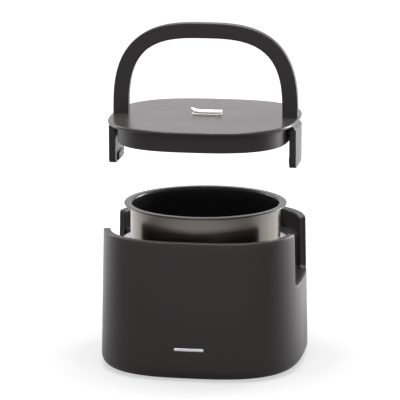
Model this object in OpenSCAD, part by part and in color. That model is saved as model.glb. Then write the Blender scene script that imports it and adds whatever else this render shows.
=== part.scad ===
// Electric lunch box: a heated base with a round inner pot and a lift-off lid with a carry handle.
// Millimetres, +Z up, the front faces -Y, the origin is on the table under the middle of the base.
// The pieces are drawn as the box is shown: pot drawn up out of its well, lid held above the pot.

/* [Body] */
// Width across the foot of the body
base_w = 190; // [180:1:200]
// Depth across the foot of the body
base_d = 194; // [184:1:204]
// How much narrower the rim is than the foot, over the whole width
taper = 5; // [2:0.5:7]
// Height of the rim above the table
rim_z = 130; // [126:1:140]
// Height of the rubber feet below the body
foot_h = 1.5; // [1:0.25:3]
// Radius of the rounded bottom edge
bottom_r = 9; // [6:0.5:9]
// Wall of the outer shell
shell_wall = 3.2; // [2.4:0.1:3.6]
// Wall of the inner collar that lines the rim
collar_wall = 3.1; // [2.4:0.1:3.6]
// Roundness of the plan: 2 is an ellipse, higher is squarer
squareness = 2.9; // [2.7:0.05:3.1]

/* [Side notches] */
// Width of each notch in the side of the rim
notch_w = 79; // [60:1:84]
// Depth of each notch below the rim
notch_depth = 50; // [49:0.5:54]
// Radius of the notch's lower corners
notch_r = 5; // [2:0.5:8]

/* [Deck and well] */
// Depth of the deck below the rim
deck_drop = 18; // [16.5:0.5:19]
// Thickness of the deck
deck_t = 2.5; // [2:0.1:3]
// Sheet thickness of the heating well
well_t = 0.8; // [0.6:0.1:1]
// Width of the well's flange, from the inside of the well
well_flange_w = 7.6; // [6.6:0.1:7.9]

/* [Pot] */
// Outer radius of the pot's wall below the rim
pot_r = 70.5; // [67:0.5:71]
// How far the pot's rim stands out from its wall
pot_rim_w = 5.9; // [4.5:0.1:6.3]
// Height of the pot from its floor to the top of its rim
pot_h = 76.3; // [70:0.1:79]
// Wall of the pot
pot_wall = 1.6; // [1.2:0.1:2.5]
// Radius of the rounded bottom edge
pot_bottom_r = 11; // [6:0.5:15]
// How far the pot is drawn up out of its seat
pot_lift = 35; // [30:0.5:60]

/* [Lid] */
// Width of the lid plate
lid_w = 176.6; // [174:0.2:180]
// Depth of the lid plate
lid_d = 183; // [176:0.5:186]
// Thickness of the lid plate
lid_t = 3.2; // [2.6:0.1:4]
// Room between the pot's rim and the skirt round it
skirt_room = 1; // [0.6:0.1:1.4]
// Height of the skirt below the lid plate
skirt_h = 18; // [16.5:0.25:18.2]
// Wall of the skirt
skirt_wall = 2.4; // [1.8:0.1:2.5]
// How far the lid is held above its seat on the pot
lid_lift = 62.5; // [60:0.5:100]
// Running height of the lid plate above the rim when it is shut
lid_gap = 1.2; // [0.8:0.1:2]

/* [Handle] */
// Width across the outside of the handle
handle_w = 174; // [168:1:176]
// Height of the handle above the lid
handle_h = 87; // [70:1:95]
// Width of the handle's band, seen from the front
handle_band = 14.5; // [11:0.5:15]
// Thickness of the handle, front to back
handle_t = 8.4; // [6:0.2:12]
// Roundness of the handle's arch
handle_squareness = 2.95; // [2.3:0.05:3.1]

/* [Latches] */
// Width of each latch tab, front to back
latch_w = 43; // [38:1:50]
// Thickness of each latch tab
latch_t = 6.3; // [5.6:0.1:6.5]
// Room between the skirt and a latch tab
latch_room = 1.8; // [1.6:0.1:2.4]
// Reach of a latch tab below the top of the lid
latch_drop = 44.5; // [43:0.5:48]
// Height of the hook at the foot of a latch tab
hook_h = 8.5; // [7:0.5:12]
// Width of the hook along the side
hook_w = 22; // [18:1:30]
// How far the hook stands in from the tab
hook_in = 1.7; // [1:0.1:1.7]
// Radius of the steel latch pin
latch_pin_r = 1.2; // [1:0.1:1.4]

/* [Steam vent] */
// Length of the vent flap
flap_l = 29; // [24:1:34]
// Width of the vent flap
flap_w = 9; // [7:0.5:12]
// Thickness of the vent flap
flap_t = 2.4; // [1.8:0.1:3]
// Length of the flap's tip that curls up
tip_l = 9; // [6:0.5:12]
// How far the flap's tip curls up
tip_rise = 3; // [2:0.1:4]
// Radius of the steam hole
steam_r = 2.6; // [2:0.1:3]

/* [Front light] */
// Width of the light bar
bar_w = 27.7; // [20:0.1:32]
// Height of the light bar
bar_h = 2.8; // [2:0.1:4]
// Height of the light bar above the table
bar_z = 30.5; // [26:0.5:34]

/* [Heater] */
// Radius of the heating plate
plate_r = 60; // [58:0.5:61]
// Thickness of the heating plate
plate_t = 4.5; // [4:0.1:6]
// Radius of the element's ring
element_ring_r = 42; // [38:0.5:48]
// Radius of the element's tube
element_r = 3.2; // [2.6:0.1:3.6]
// Radius of the thermostat
thermostat_r = 8.5; // [7:0.25:9]

/* [Hidden] */

// Small distances used everywhere
gap = 0.3;          // between pieces that move apart
fit = 0.15;         // between moulded pieces that are fitted together
pin_play = 0.05;    // round a shaft or a screw
eps = 0.1;          // overrun of a cut
plan_steps = 88;    // points round the plan
arc = 64;           // points round a circle

// Levels from the table up
shell_h = rim_z - foot_h;
deck_z = rim_z - deck_drop;
notch_z = rim_z - notch_depth;
flange_top = deck_z + well_t;
pot_rim_t = 1.5;
pot_seat_z = flange_top + gap;                        // underside of the pot's rim when seated
pot_top_seated = pot_seat_z + pot_rim_t;
pot_bottom_seated = pot_top_seated - pot_h;
plate_top = pot_bottom_seated - gap;
plate_bottom = plate_top - plate_t;
lid_top_seated = rim_z + lid_gap + lid_t;
lid_raise = pot_lift + lid_lift;                      // how far the lid is drawn above its seat
lid_z = lid_top_seated + lid_raise;                   // top of the lid as drawn

// Plan sizes of the shell
rim_w = base_w - taper;
rim_d = base_d - taper;
function half_w(z) = base_w / 2 - taper / 2 * (z - foot_h) / shell_h;
function half_d(z) = base_d / 2 - taper / 2 * (z - foot_h) / shell_h;
collar_out_w = rim_w / 2 - shell_wall - fit;
collar_out_d = rim_d / 2 - shell_wall - fit;
lip_t = 1.8;                                          // shell left outside the collar's lip
lip_h = 2;                                            // height of the collar's lip
rim_round = 1.2;

// Pockets behind the notches
pocket_wall = 2;
pot_play = 0.9;                                       // between the pot and the well's wall
well_r = pot_r + pot_play;                            // inside of the well
well_flange_r = well_r + well_flange_w;
pot_rim_r = pot_r + pot_rim_w;
skirt_w = 2 * (pot_rim_r + skirt_room + skirt_wall);  // width and depth of the skirt
well_floor_z = plate_bottom + 2.2;                    // underside of the plate's seat on the well
well_hole_r = plate_r - 4;

// Base cover and its screws
cover_t = 1.8;
cover_web = 1.4;
cover_top = foot_h + cover_t + cover_web;
cover_inset = 12.2;
cover_lip = 4;
screw_x = base_w / 2 - 35;
screw_y = base_d / 2 - 35;
screw_r = 1.45;
screw_head_r = 3.4;
foot_r = 8;
foot_x = base_w / 2 - 50;
foot_y = base_d / 2 - 34;
foot_sink = 0.8;

// Heater details
shield_z = 19;
shield_t = 0.6;
shield_r = base_d / 2 - 27.5;                          // ends short of the inlet's blades
spacer_r = 3;
spacer_ring = shield_r - spacer_r - 1.5;
element_gap_angle = 20;
element_end_angle = element_gap_angle + 6;            // cold ends, a little way in from the ends of its ring
element_pin_r = 1.2;
element_lead_r = 1;
clip_reach = 24;
clip_z = plate_bottom - 7.4;
clip_t = 1;

// Lens of the light bar
lens_gap = 0.5;                                       // between its flange and the shell's curved inside
lens_post = 4.8;

// Circuit board
board_w = 70;
board_d = 32;
board_y = -base_d / 2 + 53;
board_z = 9;
board_t = 1.6;
terminal_y = board_y + 13;                            // face of the terminal block that takes the leads
element_lead_z = board_z + board_t + 1.8;

// Power inlet at the back, a three-pin appliance inlet
inlet_z = 29;
inlet_face = base_d / 2 - 0.85;
socket_w = 24.4;
socket_h = 16.8;
socket_depth = 15;
inlet_wall = 2;
inlet_flange = 2;
inlet_flange_t = 1.3;
inlet_body_d = 19;
blade_recess = 5;
blade_x = 7;                                          // the two lower blades, to each side
blade_drop = 2;                                       // and how far below the middle
mains_lane = board_w / 2 + 7;                         // mains leads run past the board's ends

// Latches, measured from the middle and from the top of the lid
latch_in = skirt_w / 2 + latch_room;
latch_out = latch_in + latch_t;
latch_pin_x = latch_in + 2;
latch_pin_drop = 12;
latch_top = lid_t + 1.1;                              // highest point, clear of the lid plate
ear_t = 2.6;
ear_y = 13.2;
ear_r = 2.6;
spring_slot = 5;
catch_reach = latch_in - hook_in - 0.4;
pocket_in = catch_reach - 3.3;                        // face of the pocket's inner wall, behind the strike
catch_z = lid_top_seated - (latch_drop - hook_h) + 1.9;
catch_h = 5;
catch_w = 24;

// Lid details, measured from the top of the lid
neck_h = 1.2;
bead_h = 2.4;
bead_out = 1.2;
web_t = 2;
inner_lid_drop = 12;
inner_lid_t = 1.5;
seal_in = pot_rim_r - 7.2;
seal_out = pot_rim_r - 0.8;
seal_top = 14.5;
seal_bottom = lid_top_seated - pot_top_seated - gap;
inner_screw_ring = 50;
vent_y = 6;
vent_x = 0;
seat_t = 1;
steam_x = vent_x - 9.5;
flap_pin_r = 0.8;
flap_ear_t = 1.4;
flap_ear_r = 1.3;
flap_pin_x = vent_x + flap_l / 2 - flap_t / 2;
flap_pin_z = lid_z + seat_t + fit + flap_t / 2;
handle_screw_x = handle_w / 2 - handle_band + 2.3;
handle_screw_r = 1.4;

// Points of a rounded-square plan with half sizes a and b
function plan(a, b, n = squareness) =
    [for (i = [0:plan_steps - 1])
        let (t = 360 * i / plan_steps, c = cos(t), s = sin(t))
        [a * sign(c) * pow(abs(c), 2 / n), b * sign(s) * pow(abs(s), 2 / n)]];

// A solid lofted through plans, each given as [half width, half depth, height]
module loft(rings, n = squareness) {
    m = plan_steps;
    last = len(rings) - 1;
    points = [for (r = rings) for (p = plan(r[0], r[1], n)) [p[0], p[1], r[2]]];
    sides = [for (k = [0:last - 1]) for (i = [0:m - 1])
        let (j = (i + 1) % m)
        each [[k * m + i, (k + 1) * m + i, (k + 1) * m + j], [k * m + i, (k + 1) * m + j, k * m + j]]];
    floor_face = [for (i = [0:m - 1]) i];
    roof_face = [for (i = [m - 1:-1:0]) last * m + i];
    polyhedron(points, concat([floor_face, roof_face], sides), convexity = 6);
}

// A straight-walled slab on a rounded-square plan
module slab(a, b, z0, z1, n = squareness) {
    translate([0, 0, z0]) linear_extrude(z1 - z0) polygon(plan(a, b, n));
}

// A flat or deep ring between two radii
module ring(r_out, r_in, z0, z1) {
    translate([0, 0, z0]) difference() {
        cylinder(r = r_out, h = z1 - z0, $fn = 128);
        translate([0, 0, -eps]) cylinder(r = r_in, h = z1 - z0 + 2 * eps, $fn = 128);
    }
}

// A block given by its two corners
module block(low, high) {
    translate(low) cube(high - low);
}

// A round rod between two points
module rod(p, q, r) {
    v = q - p;
    length = norm(v);
    tilt = acos(v[2] / length);
    turn = atan2(v[1], v[0]);
    translate(p) rotate([0, tilt, turn]) cylinder(r = r, h = length, $fn = 24);
}

// A wire that bends at each of its points, with a slightly fuller bend
module wire(points, r) {
    for (i = [0:len(points) - 2]) rod(points[i], points[i + 1], r);
    for (i = [1:len(points) - 2]) translate(points[i]) sphere(r = 1.2 * r, $fn = 24);
}

// Copies of the children at the four corners of a rectangle
module at_corners(x, y) {
    for (sx = [-1, 1], sy = [-1, 1]) translate([sx * x, sy * y, 0]) children();
}

// The children on both sides of the box, the left ones mirrored
module both_sides() {
    children();
    mirror([1, 0, 0]) children();
}

// A round-ended bar along X, standing on its edge and extruded along Y from y0 to y1
module bar_along_y(w, h, y0, y1) {
    translate([0, y1, 0]) rotate([90, 0, 0]) linear_extrude(y1 - y0) {
        square([w - h, h], center = true);
        for (s = [-1, 1]) translate([s * (w - h) / 2, 0]) circle(d = h, $fn = arc);
    }
}

// Body

// The space cut out of the rim by both side notches
module notch_cuts() {
    reach = base_w / 2 + 5;
    both_sides() {
        block([pocket_in, -notch_w / 2, notch_z + notch_r], [reach, notch_w / 2, rim_z + 5]);
        block([pocket_in, -notch_w / 2 + notch_r, notch_z], [reach, notch_w / 2 - notch_r, rim_z]);
        for (s = [-1, 1]) translate([pocket_in, s * (notch_w / 2 - notch_r), notch_z + notch_r])
            rotate([0, 90, 0]) cylinder(r = notch_r, h = reach - pocket_in, $fn = arc);
    }
}

// Rings of the shell's outside, from the rounded foot to the rounded rim
function shell_rings() = concat(
    [for (q = [0:15:90])
        let (z = foot_h + bottom_r * (1 - cos(q)), inset = bottom_r * (1 - sin(q)))
        [half_w(z) - inset, half_d(z) - inset, z]],
    [for (q = [0:30:90])
        let (z = rim_z - rim_round * (1 - sin(q)), inset = rim_round * (1 - cos(q)))
        [half_w(z) - inset, half_d(z) - inset, z]]);

module body_shell() {
    floor_in = foot_h + shell_wall;
    inner_r = bottom_r - shell_wall;
    color("#343031") difference() {
        loft(shell_rings());
        loft(concat(
            [for (q = [0:30:90])
                let (z = floor_in + inner_r * (1 - cos(q)), inset = shell_wall + inner_r * (1 - sin(q)))
                [half_w(z) - inset, half_d(z) - inset, z]],
            [[half_w(rim_z) - shell_wall, half_d(rim_z) - shell_wall, rim_z + eps]]));
        slab(rim_w / 2 - lip_t, rim_d / 2 - lip_t, rim_z - lip_h, rim_z + 1);
        slab(base_w / 2 - cover_inset, base_d / 2 - cover_inset, 0, foot_h + cover_t);
        slab(base_w / 2 - cover_inset - cover_lip, base_d / 2 - cover_inset - cover_lip, 0, floor_in + 1);
        notch_cuts();
        translate([0, 0, bar_z]) bar_along_y(bar_w + 2 * fit, bar_h + 2 * fit, -base_d / 2 - 1, -base_d / 2 + 8);
        inlet_outline(fit, 0, base_d / 2 - 10, base_d / 2 + 1);
        inlet_outline(fit, inlet_flange, inlet_face - inlet_flange_t, base_d / 2 + 1);
    }
}

module base_cover() {
    lower = cover_inset + 2 * fit;
    upper = cover_inset + cover_lip + 2 * fit;
    color("#2b2829") difference() {
        union() {
            slab(base_w / 2 - lower, base_d / 2 - lower, foot_h, foot_h + cover_t);
            slab(base_w / 2 - upper, base_d / 2 - upper, foot_h + cover_t, cover_top);
            board_post_places() translate([0, 0, cover_top - eps])
                cylinder(r = 3, h = board_z - cover_top + eps, $fn = arc);
        }
        at_corners(screw_x, screw_y) {
            cylinder(r = screw_r + pin_play, h = 20, $fn = arc);
            cylinder(r = screw_head_r + fit, h = foot_h + cover_t - 0.4, $fn = arc);
        }
        at_corners(foot_x, foot_y) cylinder(r = foot_r + fit, h = foot_h + foot_sink, $fn = arc);
        for (i = [-4:4]) translate([i * 8, 8, 0]) block([-1.25, -22, 0], [1.25, 22, cover_top + 1]);
        board_post_places() translate([0, 0, cover_top]) cylinder(r = 1.05, h = 20, $fn = arc);
    }
}

module rubber_feet() {
    color("#1d1d1e") at_corners(foot_x, foot_y) {
        cylinder(r1 = foot_r - 0.8, r2 = foot_r, h = 0.8, $fn = arc);
        translate([0, 0, 0.8]) cylinder(r = foot_r, h = foot_h + foot_sink - 0.8, $fn = arc);
    }
}

// A pan-head screw standing on its head, with a cross slot cut in the head
module screw(r, length, head_r, head_h) {
    difference() {
        union() {
            cylinder(r = head_r, h = head_h, $fn = arc);
            cylinder(r = r, h = head_h + length, $fn = arc);
        }
        for (a = [0, 90]) rotate(a) block([-head_r * 0.55, -0.4, -eps], [head_r * 0.55, 0.4, head_h * 0.5]);
    }
}

module base_screws() {
    head_h = cover_t - 0.6;
    color("#a9abad") at_corners(screw_x, screw_y)
        translate([0, 0, foot_h + cover_t - 0.4 - head_h]) screw(screw_r, 14, screw_head_r, head_h);
}

// Deck with the collar that lines the rim, the pockets behind the notches and the screw bosses
module top_deck() {
    out_w = collar_out_w;
    out_d = collar_out_d;
    in_w = out_w - collar_wall;
    in_d = out_d - collar_wall;
    floor_w = half_w(notch_z) - shell_wall - 2 * fit;
    floor_d = half_d(notch_z) - shell_wall - 2 * fit;
    side_y = notch_w / 2 + pocket_wall;
    color("#2f2b2c") union() {
        difference() {
            union() {
                slab(out_w, out_d, deck_z - deck_t, rim_z - 0.2);
                slab(rim_w / 2 - lip_t - fit, rim_d / 2 - lip_t - fit, rim_z - lip_h, rim_z - 0.2);
                at_corners(screw_x, screw_y) translate([0, 0, cover_top])
                    cylinder(r = 4.5, h = deck_z - deck_t - cover_top + eps, $fn = arc);
            }
            slab(in_w, in_d, deck_z, rim_z + 1);
            translate([0, 0, deck_z - deck_t - eps])
                cylinder(r = well_r + well_t + gap, h = deck_t + 1, $fn = 128);
            ring(well_flange_r - 2, well_r, deck_z - well_t, deck_z + eps);
            notch_cuts();
            at_corners(screw_x, screw_y) translate([0, 0, cover_top - eps])
                cylinder(r = screw_r + pin_play, h = 16, $fn = arc);
        }
        both_sides() difference() {
            intersection() {
                block([pocket_in - pocket_wall, -side_y, notch_z - pocket_wall], [base_w, side_y, deck_z]);
                union() {
                    slab(floor_w, floor_d, notch_z - pocket_wall, notch_z);
                    slab(out_w, out_d, notch_z - pocket_wall, deck_z);
                }
            }
            notch_cuts();
            block([pocket_in, -side_y, deck_z - deck_t], [base_w, side_y, deck_z + 1]);
            translate([0, 0, deck_z - well_t]) cylinder(r = well_flange_r - 2, h = well_t + 1, $fn = 128);
            for (s = [-1, 1]) catch_screw_place(s) cylinder(r = 1.25, h = 12, center = true, $fn = arc);
        }
    }
}

module well_gasket() {
    color("#d9d7d3") ring(well_flange_r - 2 - fit, well_r + well_t + gap, deck_z - well_t, deck_z);
}

module heating_well() {
    color("#c9c9cb") union() {
        ring(well_flange_r, well_r, deck_z, flange_top);
        ring(well_r + well_t, well_r, well_floor_z - well_t, flange_top);
        ring(well_r + well_t, well_hole_r, well_floor_z - well_t, well_floor_z);
    }
}

module insulation_band() {
    low = well_floor_z + 8;
    high = deck_z - deck_t - 4;
    color("#e4e1d6") ring(pocket_in - pocket_wall - fit, well_r + well_t + fit, low, high);
}

// Heater

// Aluminium plate with a flange that lies on the well's floor and a groove for the element
module heating_plate() {
    color("#b9babd") difference() {
        union() {
            translate([0, 0, well_floor_z]) cylinder(r = plate_r, h = plate_top - well_floor_z, $fn = 128);
            translate([0, 0, plate_bottom])
                cylinder(r = well_hole_r - gap, h = well_floor_z - plate_bottom + eps, $fn = 128);
            for (s = [-1, 1]) translate([s * clip_reach, 0, clip_z + clip_t])
                cylinder(r = 4, h = plate_bottom - clip_z - clip_t + eps, $fn = arc);
        }
        translate([0, 0, plate_bottom]) rotate_extrude($fn = 128)
            translate([element_ring_r, 0]) circle(r = element_r + pin_play, $fn = 32);
        for (s = [-1, 1]) translate([s * clip_reach, 0, clip_z])
            cylinder(r = 1.5 + pin_play, h = 9, $fn = arc);
    }
}

// Places of the element's two cold ends
module at_element_ends() {
    for (s = [-1, 1]) rotate(s * element_end_angle) translate([element_ring_r, 0, 0]) children();
}

module heating_element() {
    color("#8d8f92") union() {
        translate([0, 0, plate_bottom]) rotate(element_gap_angle)
            rotate_extrude(angle = 360 - 2 * element_gap_angle, $fn = 128)
                translate([element_ring_r, 0]) circle(r = element_r, $fn = 32);
        at_element_ends() {
            translate([0, 0, shield_z - 1]) cylinder(r = element_r - 0.6, h = plate_bottom - shield_z + 1, $fn = 32);
            translate([0, 0, element_lead_z - element_pin_r])
                cylinder(r = element_pin_r, h = shield_z - element_lead_z + element_pin_r, $fn = 32);
        }
    }
}

module thermostat() {
    color("#d8d3c8") union() {
        translate([0, 0, clip_z + clip_t + fit])
            cylinder(r = thermostat_r, h = plate_bottom - fit - clip_z - clip_t - fit, $fn = arc);
        translate([0, 0, shield_z + 1])
            cylinder(r = thermostat_r - 1.5, h = clip_z + clip_t + 2 * fit - shield_z - 1, $fn = arc);
        for (s = [-1, 1]) block([s * 4 - 0.4, -3, shield_z - 5], [s * 4 + 0.4, 3, shield_z + 1 + eps]);
    }
}

module thermostat_clip() {
    color("#9a9c9f") difference() {
        union() {
            block([-clip_reach - 5, -5.5, clip_z], [clip_reach + 5, 5.5, clip_z + clip_t]);
            translate([0, 0, clip_z]) cylinder(r = thermostat_r + 2, h = clip_t, $fn = arc);
        }
        translate([0, 0, clip_z - eps]) cylinder(r = thermostat_r - 1.5 + fit, h = 3, $fn = arc);
        for (s = [-1, 1]) translate([s * clip_reach, 0, clip_z - eps])
            cylinder(r = 1.5 + pin_play, h = 3, $fn = arc);
    }
}

module clip_screws() {
    color("#a9abad") for (s = [-1, 1]) translate([s * clip_reach, 0, clip_z - 1.8]) screw(1.5, 6, 2.9, 1.8);
}

module thermal_fuse() {
    color("#c7b58a") translate([-14, 0, clip_z - 2.6]) {
        rotate([90, 0, 0]) cylinder(r = 2.5, h = 12, center = true, $fn = arc);
        rotate([90, 0, 0]) cylinder(r = 0.6, h = 22, center = true, $fn = 24);
    }
}

module heat_shield() {
    rim_h = 12;
    color("#b4b6b8") difference() {
        union() {
            ring(shield_r, thermostat_r + 20, shield_z, shield_z + shield_t);
            ring(shield_r, shield_r - shield_t, shield_z, shield_z + rim_h);
        }
        at_element_ends() cylinder(r = element_r + 1.2, h = 60, $fn = arc);
    }
}

module shield_spacers() {
    color("#a0a2a5") for (a = [30, 150, 270]) rotate(a)
        translate([spacer_ring, 0, shield_z + shield_t])
            cylinder(r = spacer_r, h = well_floor_z - well_t - shield_z - shield_t, $fn = 32);
}

// Electrics

module board_post_places() {
    for (sx = [-1, 1], sy = [-1, 1])
        translate([sx * (board_w / 2 - 5), board_y + sy * (board_d / 2 - 5), 0]) children();
}

module control_board() {
    color("#2f6b3c") difference() {
        block([-board_w / 2, board_y - board_d / 2, board_z],
              [board_w / 2, board_y + board_d / 2, board_z + board_t]);
        board_post_places() translate([0, 0, board_z - eps]) cylinder(r = 1.1, h = board_t + 1, $fn = arc);
    }
}

module board_components() {
    top = board_z + board_t;
    color("#3a3f45") {
        block([-20, board_y - 8, top], [-2, board_y + 6, top + 6.5]);
        block([4, board_y - 10, top], [16, board_y - 2, top + 5.5]);
        block([8, terminal_y - 9, top], [26, terminal_y, top + 6]);
        translate([22, board_y - 4, top]) cylinder(d = 7, h = 6.5, $fn = 32);
    }
}

module board_screws() {
    head_h = 1.3;
    color("#a9abad") board_post_places() translate([0, 0, board_z + board_t + head_h])
        mirror([0, 0, 1]) screw(1, board_t + 3, 2, head_h);
}

// Lens of the front light bar, with a flange behind the shell and two posts for its board
module light_lens() {
    face = -half_d(bar_z) - 0.25;
    inside = -half_d(bar_z) + shell_wall + lens_gap;
    color("#e6e6e8") translate([0, 0, bar_z]) {
        bar_along_y(bar_w, bar_h, face, inside + eps);
        bar_along_y(bar_w + 8, bar_h + 5, inside, inside + 1.2);
        for (s = [-1, 1]) rod([s * (bar_w / 2 + 1), inside + 1, 0], [s * (bar_w / 2 + 1), inside + lens_post, 0], 1.5);
    }
}

module led_board() {
    front = -half_d(bar_z) + shell_wall + lens_gap + lens_post;
    color("#3c6f47") block([-bar_w / 2 - 6, front, bar_z - 6], [bar_w / 2 + 6, front + 1.2, bar_z + 6]);
    color("#f2efe2") for (i = [-1:1]) block([i * 9 - 1.6, front - 2, bar_z - 1.1], [i * 9 + 1.6, front, bar_z + 1.1]);
}

// Outline of the inlet, grown by some amount and extruded along Y
module inlet_outline(play, grow, y0, y1) {
    w = socket_w + 2 * (inlet_wall + grow + play);
    h = socket_h + 2 * (inlet_wall + grow + play);
    block([-w / 2, y0, inlet_z - h / 2], [w / 2, y1, inlet_z + h / 2]);
}

module power_inlet() {
    back = inlet_face - inlet_body_d;
    chamfer = 4.5;
    color("#222223") difference() {
        union() {
            inlet_outline(0, 0, back, inlet_face);
            inlet_outline(0, inlet_flange, inlet_face - inlet_flange_t, inlet_face);
        }
        translate([0, inlet_face + eps, inlet_z]) rotate([90, 0, 0]) linear_extrude(socket_depth + eps)
            polygon([[-socket_w / 2, -socket_h / 2], [socket_w / 2, -socket_h / 2],
                     [socket_w / 2, socket_h / 2 - chamfer], [socket_w / 2 - chamfer, socket_h / 2],
                     [-socket_w / 2 + chamfer, socket_h / 2], [-socket_w / 2, socket_h / 2 - chamfer]]);
        blades(pin_play, back - 5, inlet_face - 10);
    }
}

// The three contact blades, with some play round them
module blades(play, y0, y1) {
    for (p = [[-blade_x, -blade_drop], [blade_x, -blade_drop], [0, blade_drop]])
        block([p[0] - 1 - play, y0, inlet_z + p[1] - 2 - play], [p[0] + 1 + play, y1, inlet_z + p[1] + 2 + play]);
}

module inlet_pins() {
    color("#c8a45a") blades(0, inlet_face - inlet_body_d - 4, inlet_face - blade_recess);
}

// Insulated leads inside the base, from the inlet to the board and from the board to the element
module mains_leads() {
    start_y = inlet_face - inlet_body_d - 2;
    lead_z = 7.5;
    color("#8a3a32") for (s = [-1, 1])
        wire([[s * blade_x, start_y, inlet_z - blade_drop - 2.1], [s * blade_x, start_y, lead_z],
              [s * mains_lane, start_y - 55.15, lead_z], [s * mains_lane, board_y, lead_z],
              [s * (board_w / 2 - 3.5), board_y, lead_z]], 1.1);
}

// Two stiff leads from the element's pins, each crimped into a sleeve at the terminal block
module element_leads() {
    sleeve_r = element_lead_r + 0.5;
    color("#d7d2c4") for (s = [-1, 1]) {
        pin = element_ring_r * [cos(element_end_angle), s * sin(element_end_angle), 0];
        end = [s > 0 ? 13 : 22, terminal_y + sleeve_r, 0];
        along = (end - pin) / norm(end - pin);
        translate([0, 0, element_lead_z]) {
            rod(pin + (element_pin_r + fit) * along, end, element_lead_r);
            rod(end - 5 * along, end, sleeve_r);
        }
    }
}

// Latch catches on the body

module catch_screw_place(s) {
    translate([pocket_in, s * 8, catch_z + catch_h + 1.8]) rotate([0, 90, 0]) children();
}

// A steel strike on each pocket wall, whose lower nose holds the hook down
module latch_catches() {
    color("#b4b6b8") both_sides() difference() {
        union() {
            block([pocket_in, -catch_w / 2, catch_z], [catch_reach, catch_w / 2, catch_z + catch_h * 0.5]);
            block([pocket_in, -catch_w / 2, catch_z], [pocket_in + 1, catch_w / 2, deck_z - deck_t]);
        }
        for (s = [-1, 1]) catch_screw_place(s) cylinder(r = 1.25, h = 12, center = true, $fn = arc);
    }
}

module catch_screws() {
    color("#a9abad") both_sides() for (s = [-1, 1]) catch_screw_place(s)
        translate([0, 0, 1 + 1]) mirror([0, 0, 1]) screw(1.2, 2.8, 1.9, 1);
}

// Pot

// Half section of the pot, from its middle to the curled edge of its rim
module pot_section() {
    top = pot_h;
    inside_r = pot_bottom_r - pot_wall;
    drip = 1.6;
    difference() {
        union() {
            square([pot_r - pot_bottom_r, pot_h]);
            translate([0, pot_bottom_r]) square([pot_r, top - pot_bottom_r]);
            translate([pot_r - pot_bottom_r, pot_bottom_r]) circle(r = pot_bottom_r, $fn = arc);
            translate([0, top - pot_rim_t]) square([pot_rim_r - drip / 2, pot_rim_t]);
            translate([pot_rim_r - pot_rim_t / 2, top - pot_rim_t / 2]) circle(d = pot_rim_t, $fn = 32);
        }
        translate([0, pot_wall]) square([pot_r - pot_bottom_r, top]);
        translate([0, pot_bottom_r]) square([pot_r - pot_wall, top]);
        translate([pot_r - pot_bottom_r, pot_bottom_r]) circle(r = inside_r, $fn = arc);
        translate([-1000, -eps]) square([1000, 2 * top]);
    }
}

module cooking_pot() {
    color("#8b8583") translate([0, 0, pot_bottom_seated + pot_lift])
        rotate_extrude($fn = 128) pot_section();
}

// Lid, drawn at lid_z

module lid_plate() {
    edge = lid_t * 0.42;
    rings = concat(
        [for (q = [0:45:90]) [lid_w / 2 - edge * (1 - sin(q)), lid_d / 2 - edge * (1 - sin(q)), edge * (1 - cos(q))]],
        [for (q = [0:30:90])
            [lid_w / 2 - edge * (1 - cos(q)), lid_d / 2 - edge * (1 - cos(q)), lid_t - edge * (1 - sin(q))]]);
    color("#3a3637") difference() {
        translate([0, 0, lid_z - lid_t]) loft(rings, 2.75);
        translate([steam_x, vent_y, lid_z - 10]) cylinder(r = steam_r + 1.6 + fit, h = 20, $fn = arc);
        both_sides() translate([handle_screw_x, 0, lid_z - 10])
            cylinder(r = handle_screw_r + fit, h = 20, $fn = 32);
    }
}

// Ears that carry one latch pin, beside the skirt
module latch_ears() {
    for (s = [-1, 1]) translate([0, s * ear_y, lid_z - latch_pin_drop]) difference() {
        union() {
            rotate([90, 0, 0]) translate([latch_pin_x, 0, 0]) cylinder(r = ear_r, h = ear_t, center = true, $fn = arc);
            block([skirt_w / 2 - skirt_wall, -ear_t / 2, -ear_r], [latch_pin_x, ear_t / 2, ear_r]);
        }
        rotate([90, 0, 0]) translate([latch_pin_x, 0, 0])
            cylinder(r = latch_pin_r + 0.02, h = ear_t + 1, center = true, $fn = arc);
    }
}

// Moulded frame under the plate: neck, bead, skirt, web, latch ears and posts for the inner lid
module lid_frame() {
    a = skirt_w / 2;
    bottom = lid_z - lid_t - skirt_h;
    top = lid_z - lid_t;
    bead_top = top - neck_h;
    color("#332f30") difference() {
        union() {
            difference() {
                union() {
                    slab(a, a, bottom, top, 2.75);
                    difference() {
                        slab(a + bead_out, a + bead_out, bead_top - bead_h, bead_top, 2.75);
                        both_sides() block([a, -latch_w / 2 - 1, bottom], [a + 9, latch_w / 2 + 1, top]);
                    }
                }
                slab(a - skirt_wall, a - skirt_wall, bottom - eps, top - web_t, 2.75);
            }
            both_sides() latch_ears();
            for (q = [45:90:315]) rotate(q) translate([inner_screw_ring, 0, lid_z - inner_lid_drop])
                cylinder(r = 4, h = inner_lid_drop - lid_t - web_t + eps, $fn = arc);
        }
        translate([steam_x, vent_y, lid_z - 20]) cylinder(r = steam_r + 1.6 + fit, h = 30, $fn = arc);
        both_sides() translate([handle_screw_x, 0, bottom - 5]) {
            cylinder(r = handle_screw_r + fit, h = 60, $fn = 32);
        }
        for (q = [45:90:315]) rotate(q) translate([inner_screw_ring, 0, lid_z - inner_lid_drop - eps])
            cylinder(r = 1.3, h = 6, $fn = arc);
    }
}

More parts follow.
